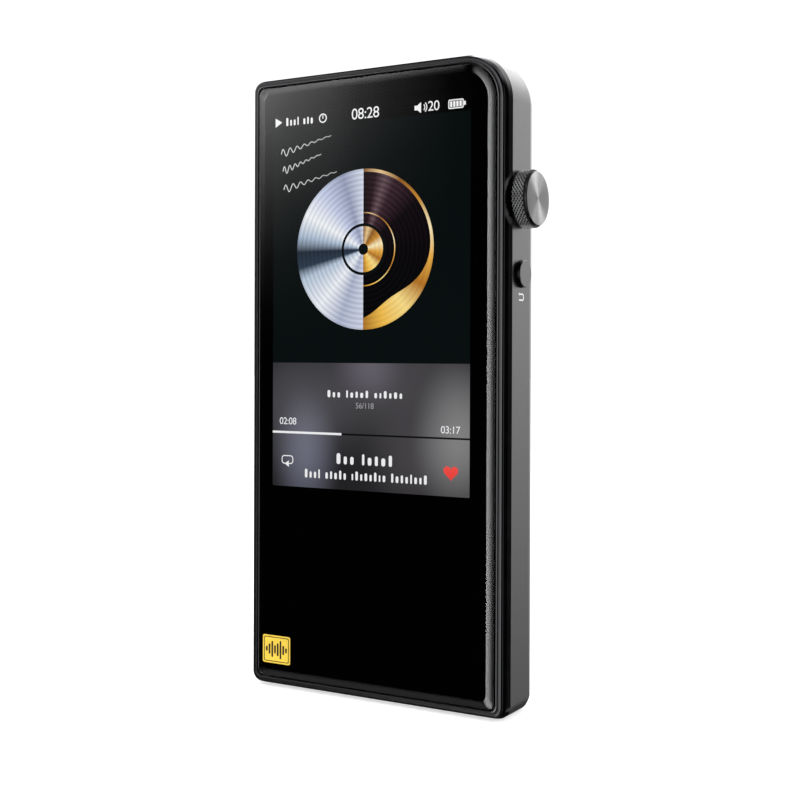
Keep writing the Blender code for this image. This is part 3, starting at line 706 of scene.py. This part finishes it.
def make_wheel():
    """The knurled wheel with the seat for its disc."""
    low, high = span("volume_knob")
    radius = (high.z - low.z) / 2
    start, end = low.x + 0.08, high.x - 0.06
    shape = bmesh.new()
    inner_edge, outer_edge = knurled_side(shape, radius, start, end)
    rim = radius - KNURL_DEPTH - 0.02
    cap_low, cap_high = span("knob_cap")
    seat = (cap_high.z - cap_low.z) / 2 - 0.3
    hub = 1.7
    floor = cap_low.x - 0.05
    front = [(rim, end + 0.02), (seat + 0.05, high.x), (seat, high.x - 0.3), (seat, floor), (hub, floor)]
    back = [(rim, start - 0.04), (rim - 0.1, low.x), (hub, low.x)]
    bridge(shape, add_rings(shape, outer_edge, front), add_rings(shape, inner_edge, back))
    wheel = from_bmesh("wheel_rim", shape, smooth=False)
    wheel.location.z = axis_height("volume_knob") * MM
    for face in wheel.data.polygons:
        beyond = face.center.x > end * MM or face.center.x < start * MM
        face.use_smooth = beyond
        face.material_index = 1 if beyond else 0
    wheel.data.set_sharp_from_angle(angle=SHARP_ANGLE)
    knurl = knurl_material(radius - KNURL_DEPTH, radius)
    # The wheel's ends, its seat and the groove round the disc are near-black: painted shade in the recess
    # between wheel and disc
    black = tinted("groove_painted_shade", (0.012, 0.012, 0.012), 0.2, 0.15, 0.5, 0.05)
    keep(wheel, WHEEL, "wheel_metal", knurl, black, replaces=("volume_knob",))


def make_disc():
    """The spun disc in the wheel's face, with its boss behind it."""
    low, high = span("knob_cap")
    radius = (high.z - low.z) / 2
    boss = radius - 0.4
    top, slope_foot, plate_foot = high.x, high.x - DISC_SLOPE, high.x - DISC_PLATE
    profile = [(0.0, top), (radius * 0.5, top), (radius - DISC_SLOPE - 0.03, top),
               (radius - DISC_SLOPE, top - 0.01), (radius - 0.02, slope_foot), (radius, slope_foot - 0.03),
               (radius, plate_foot), (boss, plate_foot), (boss, low.x), (0.0, low.x)]
    disc = turned("wheel_disc", profile, (0.0, 0.0, axis_height("volume_knob")), steps=128)
    for face in disc.data.polygons:
        face.material_index = 0 if face.center.x > (top - 0.02) * MM else 1
    spun = spun_material("spun_disc", (0.45, 0.45, 0.455), 0.09, 0.42, 0.97)
    # The disc's slope, side and boss are polished, and their dark colour is painted shade for the dark ring
    # round the disc
    edge_shade = tinted("spun_disc_edge_painted_shade", (0.07, 0.07, 0.072), 0.02, 0.3, 0.14, 0.02, Metallic=1.0)
    keep(even_shading(disc), WHEEL, "spun_aluminium", spun, edge_shade, replaces=("knob_cap",))


def ridge(quarter):
    """Height of a knurl's ridge at quarters of its pitch, from the bottom of the pits."""
    return (1.0, 0.3, 0.0, 0.3)[quarter]


def add_rings(shape, edge, profile):
    """Rings of (radius, x) that carry on from the knurled edge; returns the last one."""
    last = edge
    for radius, along in profile:
        ring = [shape.verts.new((along, across, up)) for across, up in circle((0.0, 0.0), radius, len(edge))]
        bridge(shape, last, ring)
        last = ring
    return last


def bridge(shape, first, second):
    """Faces between two rings of the same length."""
    for index, vertex in enumerate(first):
        shape.faces.new((first[index - 1], vertex, second[index], second[index - 1]))


def make_key(satin):
    """The return key and the arrow printed below it."""
    low, high = span("return_button")
    centre = (0.0, 0.0, axis_height("return_button"))
    flange_radius = (high.z - low.z) / 2
    flange_top = low.x + 0.8
    shoulder = high.x - KEY_EDGE
    profile = [(0.0, high.x), (KEY_RADIUS * 0.5, high.x), (KEY_RADIUS - KEY_EDGE, high.x),
               (KEY_RADIUS, shoulder), (KEY_RADIUS, flange_top), (flange_radius, flange_top),
               (flange_radius, low.x), (0.0, low.x)]
    key = turned("return_key_cap", profile, centre)
    # The key's side wall is a near-black copy of its metal: painted shade and painted dark reflection
    side = tinted("key_side_painted_shade", (0.012, 0.012, 0.0125), 0.1, 0.2, 0.3, Metallic=1.0)
    for face in key.data.polygons:
        face.material_index = 0 if face.center.x > shoulder * MM else 1
    keep(even_shading(key), KEY, "key_metal", satin, side, replaces=("return_button",))

    # A line that turns back on itself, with a small head on its upper end
    height, reach, line = 1.02, 0.95, 0.24
    bend = height / 2
    path = [(-0.75, bend)] + circle((reach - bend, 0.0), bend, 12, 90.0, -90.0) + [(-0.85, -bend)]
    head = ((-1.1, bend), (-0.7, bend + 0.3), (-0.7, bend - 0.3))
    level = centre[2] - ARROW_DROP
    outlines = [[(across, level + up) for across, up in ribbon(path, line)],
                [(across, level + up) for across, up in head]]
    pieces = [prism(f"arrow_{index}", (outline,), HALF_WIDTH - 0.01, HALF_WIDTH + 0.015, "X")
              for index, outline in enumerate(outlines)]
    paint = tinted("white_print", (0.75, 0.75, 0.75), 0.08, 0.1, 0.5)
    keep(gather("return_arrow", pieces), BODY, "frame_metal", paint)


# ----- the display

LAYER = 0.02
LAYER_THICK = 0.016
SCREEN_Y = FRONT + GLASS_THICK - 0.01


def layer(name, *outlines, order=3):
    """A thin lit sheet bonded into the back of the glass; a higher order lies nearer its face."""
    middle = SCREEN_Y - LAYER * order
    return prism(name, outlines, middle - LAYER_THICK / 2, middle + LAYER_THICK / 2)


def show(piece, finish):
    """Keep a piece of the lit picture."""
    return keep(piece, BODY, "display", finish)


def number(text, centre, height):
    """Digits in the plain built-in face, centred on a point."""
    curve = bpy.data.curves.new("digits", "FONT")
    curve.body = text
    curve.align_x = "CENTER"
    curve.align_y = "CENTER"
    curve.size = height / 0.72 * MM
    curve.extrude = LAYER_THICK / 2 * MM
    curve.space_character = 0.95
    flat = placed("digits", curve)
    flat.rotation_euler = (math.pi / 2, 0.0, 0.0)
    flat.location = Vector((centre[0], SCREEN_Y - LAYER * 3, centre[1])) * MM
    return meshed(flat, "digits_" + text.replace(":", "_").replace("/", "_"))


def words(name, left, right, middle, height, letters):
    """A line of text stood in for by small plain bars, one for each letter, with a count for each word."""
    widths = (0.34, 0.28, 0.3, 0.2, 0.32, 0.26)
    heights = (1.0, 0.72, 0.72, 1.0, 0.72, 0.86, 0.72)
    bars = [(widths[index % len(widths)], heights[index % len(heights)]) for index in range(sum(letters))]
    ends = [sum(letters[:count + 1]) for count in range(len(letters))]
    spacing, word_spacing = 0.3, 0.75
    total = sum(width for width, _ in bars) + spacing * (len(bars) - len(ends)) + word_spacing * (len(ends) - 1)
    unit = (right - left) / total
    pieces = []
    start = left
    for index, (width, tall) in enumerate(bars):
        end = start + width * unit
        bottom = middle - height / 2
        outline = rectangle(start, bottom, end, bottom + height * tall, width * unit * 0.45)
        pieces.append(layer(f"{name}_{index}", outline))
        start = end + unit * (word_spacing if index + 1 in ends else spacing)
    return pieces


def make_display():
    """The lit picture on the display: status line, artwork, and the playing panel."""
    art_bottom, art_top = 60.15, 103.2
    line_z = 47.35
    ground = lit_material("lit_art_ground", (0.0030, 0.0052, 0.0054), (0.0022, 0.0040, 0.0044), "Z", art_bottom,
                          art_top)
    status = lit_material("lit_status", (0.0030, 0.0028, 0.0028), (0.0005, 0.0005, 0.0005))
    sheets = (("screen_artwork", ground, art_bottom, art_top),
              ("screen_status_line", status, art_top, SCREEN_TOP),
              ("screen_play_panel", glowing_panel(), SCREEN_BOTTOM, art_bottom))
    for name, finish, bottom, top in sheets:
        show(layer(name, rectangle(SCREEN_LEFT, bottom, SCREEN_RIGHT, top), order=0), finish)

    white = lit_material("lit_white", (0.86, 0.86, 0.88), (0.92, 0.92, 0.92), "Z", SCREEN_BOTTOM, SCREEN_TOP)
    show(gather("screen_white_marks", status_marks() + panel_marks(line_z)), white)
    grey = lit_material("lit_grey", (0.30, 0.30, 0.31), (0.36, 0.36, 0.37))
    show(number("56/118", (-1.3, 52.5), 1.05), grey).name = "screen_track_count"
    black = lit_material("lit_black", (0.004, 0.004, 0.005), (0.006, 0.006, 0.007))
    show(layer("screen_line_rest", rectangle(-6.2, line_z - 0.16, SCREEN_RIGHT, line_z + 0.16), order=2), black)
    red = lit_material("lit_red", (0.78, 0.05, 0.04), (0.90, 0.085, 0.07), "Z", 39.8, 43.0)
    show(layer("screen_heart", heart((16.1, 41.3), 1.42)), red)
    make_artwork()


def glowing_panel():
    """The playing panel's blurred backdrop: a dim ground with soft patches of light, in millimetres."""
    made, nodes, shader = lit_shader("lit_panel")
    patches = (((-14.0, 43.0), (8.5, 14.0), (0.110, 0.114, 0.158)),
               ((-16.0, 52.0), (16.0, 15.0), (0.052, 0.052, 0.060)),
               ((-0.5, 60.0), (9.0, 9.0), (0.070, 0.062, 0.084)),
               ((17.8, 47.0), (10.5, 16.0), (0.190, 0.190, 0.190)),
               ((6.0, 56.0), (30.0, 18.0), (0.046, 0.044, 0.048)),
               ((9.0, 42.0), (12.0, 12.0), (0.036, 0.034, 0.037)))
    place = nodes.place()
    ground = nodes.noise(11.0, 1.0, vector=place)
    total = nodes.ramp(ground, ((0.3, (0.013, 0.012, 0.014)), (0.7, (0.019, 0.018, 0.020))))
    for centre, reach, tint in patches:
        from_centre = nodes.vector("SUBTRACT", place, (centre[0], 0.0, centre[1]))
        shares = nodes.vector("MULTIPLY", from_centre, (1.0 / reach[0], 0.0, 1.0 / reach[1]))
        away = nodes.add("ShaderNodeVectorMath", operation="LENGTH")
        nodes.feed(away.inputs[0], shares)
        glow = nodes.remap(away.outputs["Value"], 0.0, 1.0, 1.0, 0.0, smooth=True)
        total = nodes.vector("ADD", total, nodes.scaled(tint, glow))
    nodes.feed(shader.inputs["Emission Color"], total)
    return made


def status_marks():
    """Play mark, ring, clock, loudspeaker with its level, and battery, along the top line."""
    z = 104.45
    pieces = [layer("play", [(-20.9, z - 0.85), (-19.4, z), (-20.9, z + 0.85)])]
    pieces += words("playing", -18.5, -12.6, z, 1.5, (4, 3))
    cone = [(8.7, z - 0.4), (9.25, z - 0.4), (10.0, z - 0.95),
            (10.0, z + 0.95), (9.25, z + 0.4), (8.7, z + 0.4)]
    pieces += [
        layer("ring", circle((-10.4, z), 0.85), circle((-10.4, z), 0.62)),
        layer("ring_hand", rectangle(-10.5, z - 0.1, -10.3, z + 0.5)),
        number("08:28", (-1.35, z), 2.0),
        layer("speaker", cone),
        layer("speaker_wave_0", sector((10.1, z), 0.55, 0.73, -48.0, 48.0)),
        layer("speaker_wave_1", sector((10.1, z), 0.95, 1.13, -48.0, 48.0)),
        number("20", (12.5, z), 1.75),
        layer("battery", rectangle(15.35, z - 0.8, 18.3, z + 0.8, 0.25),
              rectangle(15.55, z - 0.6, 18.1, z + 0.6, 0.12)),
        layer("battery_end", rectangle(18.35, z - 0.35, 18.7, z + 0.35, 0.1)),
    ]
    for index in range(4):
        left = 15.7 + index * 0.6
        pieces.append(layer(f"battery_bar_{index}", rectangle(left, z - 0.48, left + 0.42, z + 0.48)))
    return pieces


def panel_marks(line_z):
    """Blocks for the lines of text, the two times, the played length and the repeat mark."""
    pieces = words("format", -9.2, 6.4, 54.6, 1.3, (3, 5, 6))
    pieces.append(number("02:08", (-17.9, 49.35), 1.3))
    pieces.append(number("03:17", (16.0, 48.75), 1.3))
    pieces.append(layer("played", rectangle(SCREEN_LEFT, line_z - 0.2, -6.2, line_z + 0.2), order=2))
    pieces += words("title", -7.2, 4.4, 42.95, 1.95, (3, 5))
    pieces += words("artist", -14.1, 11.4, 40.0, 1.6, (4, 5, 8, 8))
    loop = rectangle(-19.3, 41.5, -16.7, 43.1, 0.6), rectangle(-19.12, 41.68, -16.88, 42.92, 0.45)
    pieces.append(layer("repeat", *loop))
    pieces.append(layer("repeat_head", [(-17.7, 40.95), (-17.7, 42.15), (-18.6, 41.55)]))
    return pieces


def heart(middle, size):
    """A heart's outline from its usual formula, size being half its width."""
    points = []
    for step in range(72):
        angle = math.tau * step / 72
        across = 16 * math.sin(angle) ** 3
        up = 13 * math.cos(angle) - 5 * math.cos(2 * angle) - 2 * math.cos(3 * angle) - math.cos(4 * angle)
        points.append((middle[0] + across / 16 * size, middle[1] + (up + 2.5) / 16 * size))
    return points[::-1]


def make_artwork():
    """A record that is half silver, half dark with gold edges, and three thin sound waves."""
    middle = (-1.7, 80.4)
    edge, hub = 14.3, 4.6
    label = (1.0, 4.1)
    left_half, right_half = (90.0, 270.0), (-90.0, 90.0)
    silver = art_silver(middle)
    show(layer("art_silver_half", sector(middle, hub, edge, *left_half), order=1), silver)
    show(layer("art_dark_half", sector(middle, hub, edge, *right_half), order=1), art_dark(middle))
    inner = []
    for step in range(49):
        angle = math.radians(-90.0 + 180.0 * step / 48)
        thick = 0.55 + 3.4 * max(math.cos(angle + math.radians(58.0)), 0.0) ** 5
        reach = edge - thick
        inner.append((middle[0] + reach * math.cos(angle), middle[1] + reach * math.sin(angle)))
    parts = (("rim", circle(middle, edge, 48, *right_half) + inner[::-1]),
             ("label", sector(middle, *label, *right_half)),
             ("groove", sector(middle, 6.4, 6.6, *right_half)))
    gilded = [layer("art_" + name, outline, order=2) for name, outline in parts]
    show(gather("art_gold_parts", gilded), art_gold(middle))
    show(layer("art_silver_label", sector(middle, *label, *left_half), order=2), silver)
    strokes = []
    waves = ((-19.6, 98.6, 11.0), (-19.2, 95.4, 8.4), (-19.0, 92.0, 11.6))
    for index, (left, base, length) in enumerate(waves):
        path = []
        for step in range(61):
            share = step / 60
            swing = 0.9 * math.exp(-2.4 * share) * math.sin(share * math.tau * 7.0)
            path.append((left + length * share, base + 2.6 * share + swing))
        strokes.append(layer(f"wave_{index}", ribbon(path, 0.16), order=2))
    pale = lit_material("lit_wave", (0.80, 0.82, 0.82), (0.40, 0.41, 0.41), "X", -20.0, -8.0)
    show(gather("art_sound_waves", strokes), pale)


def angle_round(nodes, middle):
    """The direction from a point on the display, from 0 to 1 round the circle, and the distance from it."""
    parts = nodes.split(nodes.vector("SUBTRACT", nodes.place(), (middle[0], 0.0, middle[1])))
    turn = nodes.maths("ARCTAN2", parts["Z"], parts["X"])
    share = nodes.maths("MULTIPLY_ADD", turn, 1.0 / math.tau, 0.5)
    return share, nodes.hypotenuse(parts["X"], parts["Z"])


def record_material(name, middle, fans, groove_depth):
    """A record's half: fans of light round its middle, over fine grooves."""
    made, nodes, shader = lit_shader(name)
    share, distance = angle_round(nodes, middle)
    grooves = nodes.maths("SINE", nodes.maths("MULTIPLY", distance, math.tau / 0.9))
    depth = nodes.remap(grooves, -1.0, 1.0, 1.0 - groove_depth, 1.0)
    nodes.feed(shader.inputs["Emission Color"], nodes.scaled(nodes.ramp(share, fans), depth))
    return made


def art_silver(middle):
    """Polished silver with two dark bluish fans on its left."""
    return record_material("lit_silver", middle, (
        (0.0, (0.020, 0.030, 0.050)), (0.035, (0.030, 0.050, 0.080)), (0.06, (0.50, 0.60, 0.74)),
        (0.13, (0.90, 0.93, 0.99)), (0.19, (0.45, 0.50, 0.66)), (0.25, (0.66, 0.70, 0.84)),
        (0.75, (0.72, 0.77, 0.90)), (0.80, (0.34, 0.38, 0.54)), (0.86, (0.60, 0.66, 0.86)),
        (0.92, (0.95, 0.97, 1.0)), (0.965, (0.45, 0.55, 0.70)), (1.0, (0.020, 0.030, 0.050))), 0.22)


def art_dark(middle):
    """Black vinyl with a faint wine-coloured fan near its top."""
    return record_material("lit_vinyl", middle, (
        (0.25, (0.003, 0.003, 0.004)), (0.45, (0.0035, 0.0030, 0.0040)), (0.60, (0.007, 0.004, 0.006)),
        (0.67, (0.050, 0.022, 0.032)), (0.695, (0.150, 0.090, 0.110)), (0.72, (0.030, 0.012, 0.018)),
        (0.75, (0.012, 0.006, 0.008))), 0.45)


def art_gold(middle):
    """Gold with bright and brown fans."""
    return record_material("lit_gold", middle, (
        (0.25, (0.42, 0.17, 0.02)), (0.30, (0.90, 0.52, 0.08)), (0.36, (0.98, 0.74, 0.26)),
        (0.42, (0.45, 0.17, 0.02)), (0.48, (0.80, 0.42, 0.07)), (0.54, (1.0, 0.86, 0.52)),
        (0.60, (0.60, 0.27, 0.04)), (0.66, (0.28, 0.11, 0.02)), (0.71, (0.85, 0.60, 0.30)),
        (0.75, (0.22, 0.09, 0.02))), 0.12)


# ----- sticker

def make_sticker():
    """A small gold sticker on the glass with plain sound bars inside a thin frame."""
    left, right, bottom, top = -23.1, -16.95, 4.5, 9.65
    sheet = FRONT - 0.06, FRONT - 0.005
    ink = FRONT - 0.075, FRONT - 0.055
    gold = tinted("sticker_gold", (0.83, 0.56, 0.045), 0.12, 1.2, 0.35, 0.05, Coat_Weight=0.3)
    base = prism("sticker", (rectangle(left, bottom, right, top, 0.35),), *sheet)
    keep(base, BODY, "cover_glass", gold)
    black = tinted("sticker_black", (0.012, 0.008, 0.006), 0.2, 0.6, 0.5, Specular_IOR_Level=0.15)
    frame_outlines = [rectangle(left + gap, bottom + gap, right - gap, top - gap, 0.3) for gap in (0.28, 0.42)]
    marks = [prism("sticker_frame", frame_outlines, *ink)]
    middle = (bottom + top) / 2
    bar, pitch = 0.38, 0.62
    heights = (0.9, 1.9, 3.0, 1.5, 2.4, 3.4, 1.7, 0.9)
    start = (left + right - pitch * (len(heights) - 1) - bar) / 2
    for index, height in enumerate(heights):
        near = start + index * pitch
        outline = rectangle(near, middle - height / 2, near + bar, middle + height / 2, 0.18)
        marks.append(prism(f"bar_{index}", (outline,), *ink))
    keep(gather("sticker_dark_marks", marks), BODY, "cover_glass", black)


# ----- sockets

def make_sockets():
    """Finely rounded noses for the two round sockets, and the USB-C shell, tongue and contacts."""
    plastic = tinted("socket_plastic", (0.012, 0.012, 0.012), 0.15, 0.2, 0.45, bump=0.003)
    gold = tinted("contact_gold", (0.80, 0.56, 0.22), 0.06, 0.3, 0.22, Metallic=1.0)
    steel = tinted("steel_bright", (0.55, 0.55, 0.56), 0.08, 0.25, 0.28, Metallic=1.0, stretch=(1.0, 1.0, 0.1))
    for node, radius in SOCKET_NOSES.items():
        low, high = span(node)
        place = nose_of(node)
        bore_radius = SOCKET_BORES[node]
        far = low.z - high.z + 1.0
        housing = block(node + "_housing", (low.x, high.y - SOCKET_HOUSING_DEPTHS[node], WALL + 0.2), high, 0.2)
        nose = [(0.0, 0.0), (radius - 0.15, 0.0), (radius, -0.15), (radius, -3.0), (0.0, -3.0)]
        carve(housing, [turned(node + "_nose", nose, place, "Z", 64, flip=True)], "UNION")
        hole = [(0.0, 1.0), (bore_radius + 1.3, 1.0), (bore_radius, -0.3), (bore_radius, far), (0.0, far)]
        carve(housing, [turned(node + "_hole", hole, place, "Z", 64, flip=True)])
        keep(even_shading(housing), BODY, "black_plastic", plastic, replaces=(node,))
        ring = [(bore_radius - 0.02, -0.45), (bore_radius - 0.02, -1.6), (bore_radius - 0.14, -1.6),
                (bore_radius - 0.14, -0.5)]
        keep(turned(node + "_contact", ring, place, "Z", 64, flip=True), BODY, "steel", gold)

    low, high = span("usb_c_shell")
    walls = stadium(low, high, 0.0, "xy"), stadium(low, high, -0.3, "xy")
    shell = prism("usb_shell", walls, low.z, high.z, "Z")
    shell.data.shade_smooth()
    shell.data.set_sharp_from_angle(angle=SHARP_ANGLE)
    rounding = shell.modifiers.new("rounding", "BEVEL")
    rounding.width = 0.07 * MM
    rounding.segments = 2
    keep(even_shading(shell), BODY, "steel", steel, replaces=("usb_c_shell",))
    middle = (low + high) / 2
    blade_low, blade_high = (middle.x - 3.35, middle.y - 0.35, 1.1), (middle.x + 3.35, middle.y + 0.35, 6.6)
    tongue = [block("blade", blade_low, blade_high, 0.1)]
    tongue.append(prism("seat", (stadium(low, high, -0.5, "xy"),), 6.0, high.z, "Z"))
    keep(gather("usb_tongue", tongue), BODY, "black_plastic", plastic, replaces=("usb_c_tongue",))
    contacts = []
    pads, pitch = 12, 0.5
    for side in (-1.0, 1.0):
        near, far = sorted((middle.y + side * 0.345, middle.y + side * 0.365))
        for index in range(pads):
            x = middle.x + (index - (pads - 1) / 2) * pitch
            contacts.append(block(f"pad_{side}_{index}", (x - 0.12, near, 1.4), (x + 0.12, far, 5.6), 0.0))
    keep(gather("usb_contacts", contacts), BODY, "steel", gold)


# ----- inner parts

def finish_inner_parts():
    """Every CAD node that stays gets a procedural finish by its record slot."""
    made = {
        "circuit_board": board_material(),
        "steel": tinted("steel_plain", (0.52, 0.52, 0.53), 0.08, 0.3, 0.3, stretch=(1.0, 1.0, 0.1),
                        Metallic=1.0),
        "black_plastic": tinted("plastic_black", (0.02, 0.02, 0.02), 0.15, 0.25, 0.5, bump=0.004),
        "chip_epoxy": tinted("epoxy_black", (0.025, 0.025, 0.026), 0.2, 0.15, 0.6, bump=0.004),
        "battery_foil": tinted("foil", (0.5, 0.5, 0.52), 0.06, 4.0, 0.35, 0.08, bump=0.15, Metallic=0.8),
        "flex_film": tinted("amber_film", (0.42, 0.2, 0.04), 0.12, 0.5, 0.4),
        "diffuser": tinted("diffuser_white", (0.8, 0.8, 0.8), 0.03, 1.0, 0.5),
        "display": tinted("display_cell", (0.01, 0.01, 0.012), 0.2, 0.4, 0.3),
        "red_insulation": tinted("insulation_red", (0.5, 0.02, 0.015), 0.1, 0.6, 0.5),
        "black_insulation": tinted("insulation_black", (0.015, 0.015, 0.015), 0.2, 0.6, 0.5),
    }
    slots = {entry["node"]: entry["material_slot"] for entry in frame["record"]["subparts"]}
    for name, node in frame["nodes"].items():
        finish = made.get(slots[name])
        if finish and not node.hide_render:
            refinish(node, finish)


def board_material():
    """Green solder mask over a fine pattern of tracks."""
    made, nodes, shader = material("solder_mask", Coat_Weight=0.2)
    cells = nodes.add("ShaderNodeTexBrick")
    nodes.feed(cells.inputs["Vector"], nodes.place())
    cells.inputs["Scale"].default_value = 1.4
    cells.inputs["Mortar Size"].default_value = 0.03
    cells.inputs["Color1"].default_value = (0.010, 0.070, 0.028, 1.0)
    cells.inputs["Color2"].default_value = (0.014, 0.085, 0.034, 1.0)
    cells.inputs["Mortar"].default_value = (0.03, 0.16, 0.06, 1.0)
    nodes.feed(shader.inputs["Base Color"], cells.outputs["Color"])
    nodes.feed(shader.inputs["Roughness"], nodes.remap(nodes.noise(0.8), 0.3, 0.7, 0.35, 0.5))
    return made


# ----- studio

def make_camera():
    """The main view: level with the middle of the body, from its front right."""
    azimuth, pitch, roll = (math.radians(angle) for angle in (30.387, -0.364, 0.208))
    distance, sideways, height = 233.31, 2.23, 61.48
    turn = Matrix.Rotation(azimuth, 4, "Z")
    place = turn @ Vector((sideways, -distance, height)) * MM
    tilt = Matrix.Rotation(math.pi / 2 + pitch, 4, "X") @ Matrix.Rotation(roll, 4, "Z")
    data = bpy.data.cameras.new("camera")
    data.sensor_width = 36.0
    data.lens = 58.0
    data.shift_y = -0.045
    data.clip_start = 0.01
    data.clip_end = 20.0
    camera = placed("camera", data)
    camera.matrix_world = Matrix.Translation(place) @ turn @ tilt
    bpy.context.scene.camera = camera


def make_floor():
    """A plain pale floor."""
    bpy.ops.mesh.primitive_plane_add(size=6.0, location=(0.0, 0.0, -0.0001))
    floor = bpy.context.object
    floor.name = "floor"
    white = tinted("floor_white", (0.9, 0.9, 0.9), 0.01, 60.0, 0.7, Emission_Color=(1.0, 1.0, 1.0, 1.0),
                   Emission_Strength=0.6)
    floor.data.materials.append(white)
    floor.visible_glossy = False
    floor.visible_transmission = False


def light(nodes, azimuth, elevation, round_stops, height_stops):
    """Brightness of one soft light from stops of (degrees, value) round the horizon and up from it."""
    brightest = 10.0
    round_it = nodes.ramp(azimuth, [(angle / 360.0, (value / brightest,) * 3) for angle, value in round_stops])
    up_it = nodes.ramp(elevation, [((angle + 90.0) / 180.0, (value,) * 3) for angle, value in height_stops])
    return nodes.maths("MULTIPLY", nodes.maths("MULTIPLY", round_it, up_it), brightest)


def make_light():
    """A white room for the eye and for matt surfaces; polished ones see a dim room with tall soft lights."""
    world = bpy.data.worlds.new("studio")
    world.use_nodes = True
    world.cycles.sampling_method = "NONE"
    bpy.context.scene.world = world
    nodes = Nodes(world.node_tree)
    world.node_tree.nodes.clear()
    parts = nodes.split(nodes.add("ShaderNodeTexCoord").outputs["Generated"])
    turn = nodes.maths("ARCTAN2", parts["Y"], parts["X"])
    azimuth = nodes.maths("FRACT", nodes.maths("DIVIDE", turn, math.tau))
    rise = nodes.maths("ARCSINE", parts["Z"])
    elevation = nodes.maths("MULTIPLY_ADD", rise, 1.0 / math.pi, 0.5)
    lights = (
        # behind the wheel side: what the satin side band shows, brighter upwards
        (((33, 0.0), (52, 1.0), (104, 1.0), (108, 1.25), (116, 1.25), (119, 0.0)),
         ((-35, 0.02), (-15, 0.22), (0, 0.96), (11, 1.36), (23, 1.78), (33, 3.1), (45, 2.8), (55, 0.2))),
        # in front, tall and narrow: the lines along the right edge of the glass
        (((246, 0.0), (250, 7.6), (253.4, 7.8), (257.4, 6.6), (261.4, 5.4), (265.4, 2.9), (269.4, 1.4),
          (273.4, 0.3), (275.5, 0.0)),
         ((-55, 0.0), (-40, 0.3), (-28, 0.85), (0, 0.95), (13, 1.0), (20, 0.6), (30, 0.2), (40, 0.0))),
        # front left and high: the haze in the upper left of the glass
        (((195, 0.0), (212, 2.4), (224, 3.0), (228, 4.6), (231.5, 3.3), (234, 1.9), (235.1, 1.35),
          (236.4, 1.0), (237.1, 0.6), (239, 0.25), (240.4, 0.12), (242.2, 0.0)),
         ((0.5, 0.0), (2.3, 0.01), (4.5, 0.055), (6.7, 0.21), (8.9, 0.55), (10.6, 1.0), (12, 1.4), (14.5, 1.3),
          (19, 0.9), (28, 0.8), (38, 0.55), (52, 0.15), (70, 0.0))),
        # left: the line along the glass's left edge
        (((148, 0.0), (165, 0.8), (190, 0.8), (208, 0.0)), ((-58, 0.0), (-40, 0.8), (40, 1.0), (70, 0.3))),
        # front and low, dim: the glow along the glass's bottom edge
        (((205, 0.0), (215, 0.45), (242, 0.42), (248, 0.0)),
         ((-60, 0.0), (-45, 0.7), (-30, 1.0), (-21, 0.3), (-17, 0.0))),
        # right, very dim: the slanted band
        (((0, 0.16), (12, 0.15), (24, 0.0), (330, 0.0), (350, 0.16)), ((-40, 1.0), (40, 1.0))),
        # overhead, and weaker from below
        (((0, 3.0), (360, 3.0)), ((-80, 0.25), (-62, 0.0), (62, 0.0), (80, 1.0))),
        # behind and low: a soft gradient over the back glass
        (((38, 0.0), (43, 1.3), (48, 2.4), (52, 1.2), (55, 0.0)),
         ((-42, 0.0), (-34, 0.5), (-20, 1.0), (-9, 1.0), (-5, 0.0))),
        # beside the wheel, level: what the flat of the side shows when it is looked at squarely
        (((0, 2.2), (7, 2.1), (11, 0.0), (354, 0.0), (359, 2.1), (360, 2.2)),
         ((-30, 0.6), (0, 1.0), (25, 0.6), (40, 0.0))),
    )
    total = 0.006       # the dim room
    for round_stops, height_stops in lights:
        total = nodes.maths("ADD", light(nodes, azimuth, elevation, round_stops, height_stops), total)
    rays = nodes.add("ShaderNodeLightPath")
    matt = nodes.maths("MAXIMUM", rays.outputs["Is Diffuse Ray"], rays.outputs["Is Camera Ray"])
    shown = nodes.add("ShaderNodeMix", data_type="FLOAT")
    nodes.feed(shown.inputs["Factor"], matt)
    nodes.feed(shown.inputs["A"], total)
    nodes.feed(shown.inputs["B"], 1.12)
    background = nodes.add("ShaderNodeBackground")
    background.inputs["Color"].default_value = (1.0, 1.0, 1.0, 1.0)
    nodes.feed(background.inputs["Strength"], shown.outputs["Result"])
    output = nodes.add("ShaderNodeOutputWorld")
    nodes.feed(output.inputs["Surface"], background.outputs[0])
    bpy.context.scene.view_settings.view_transform = "Standard"


make_camera()
make_floor()
make_light()
case_satin = make_case()
make_faces()
make_wheel()
make_disc()
make_key(case_satin)
make_display()
make_sticker()
make_sockets()
finish_inner_parts()
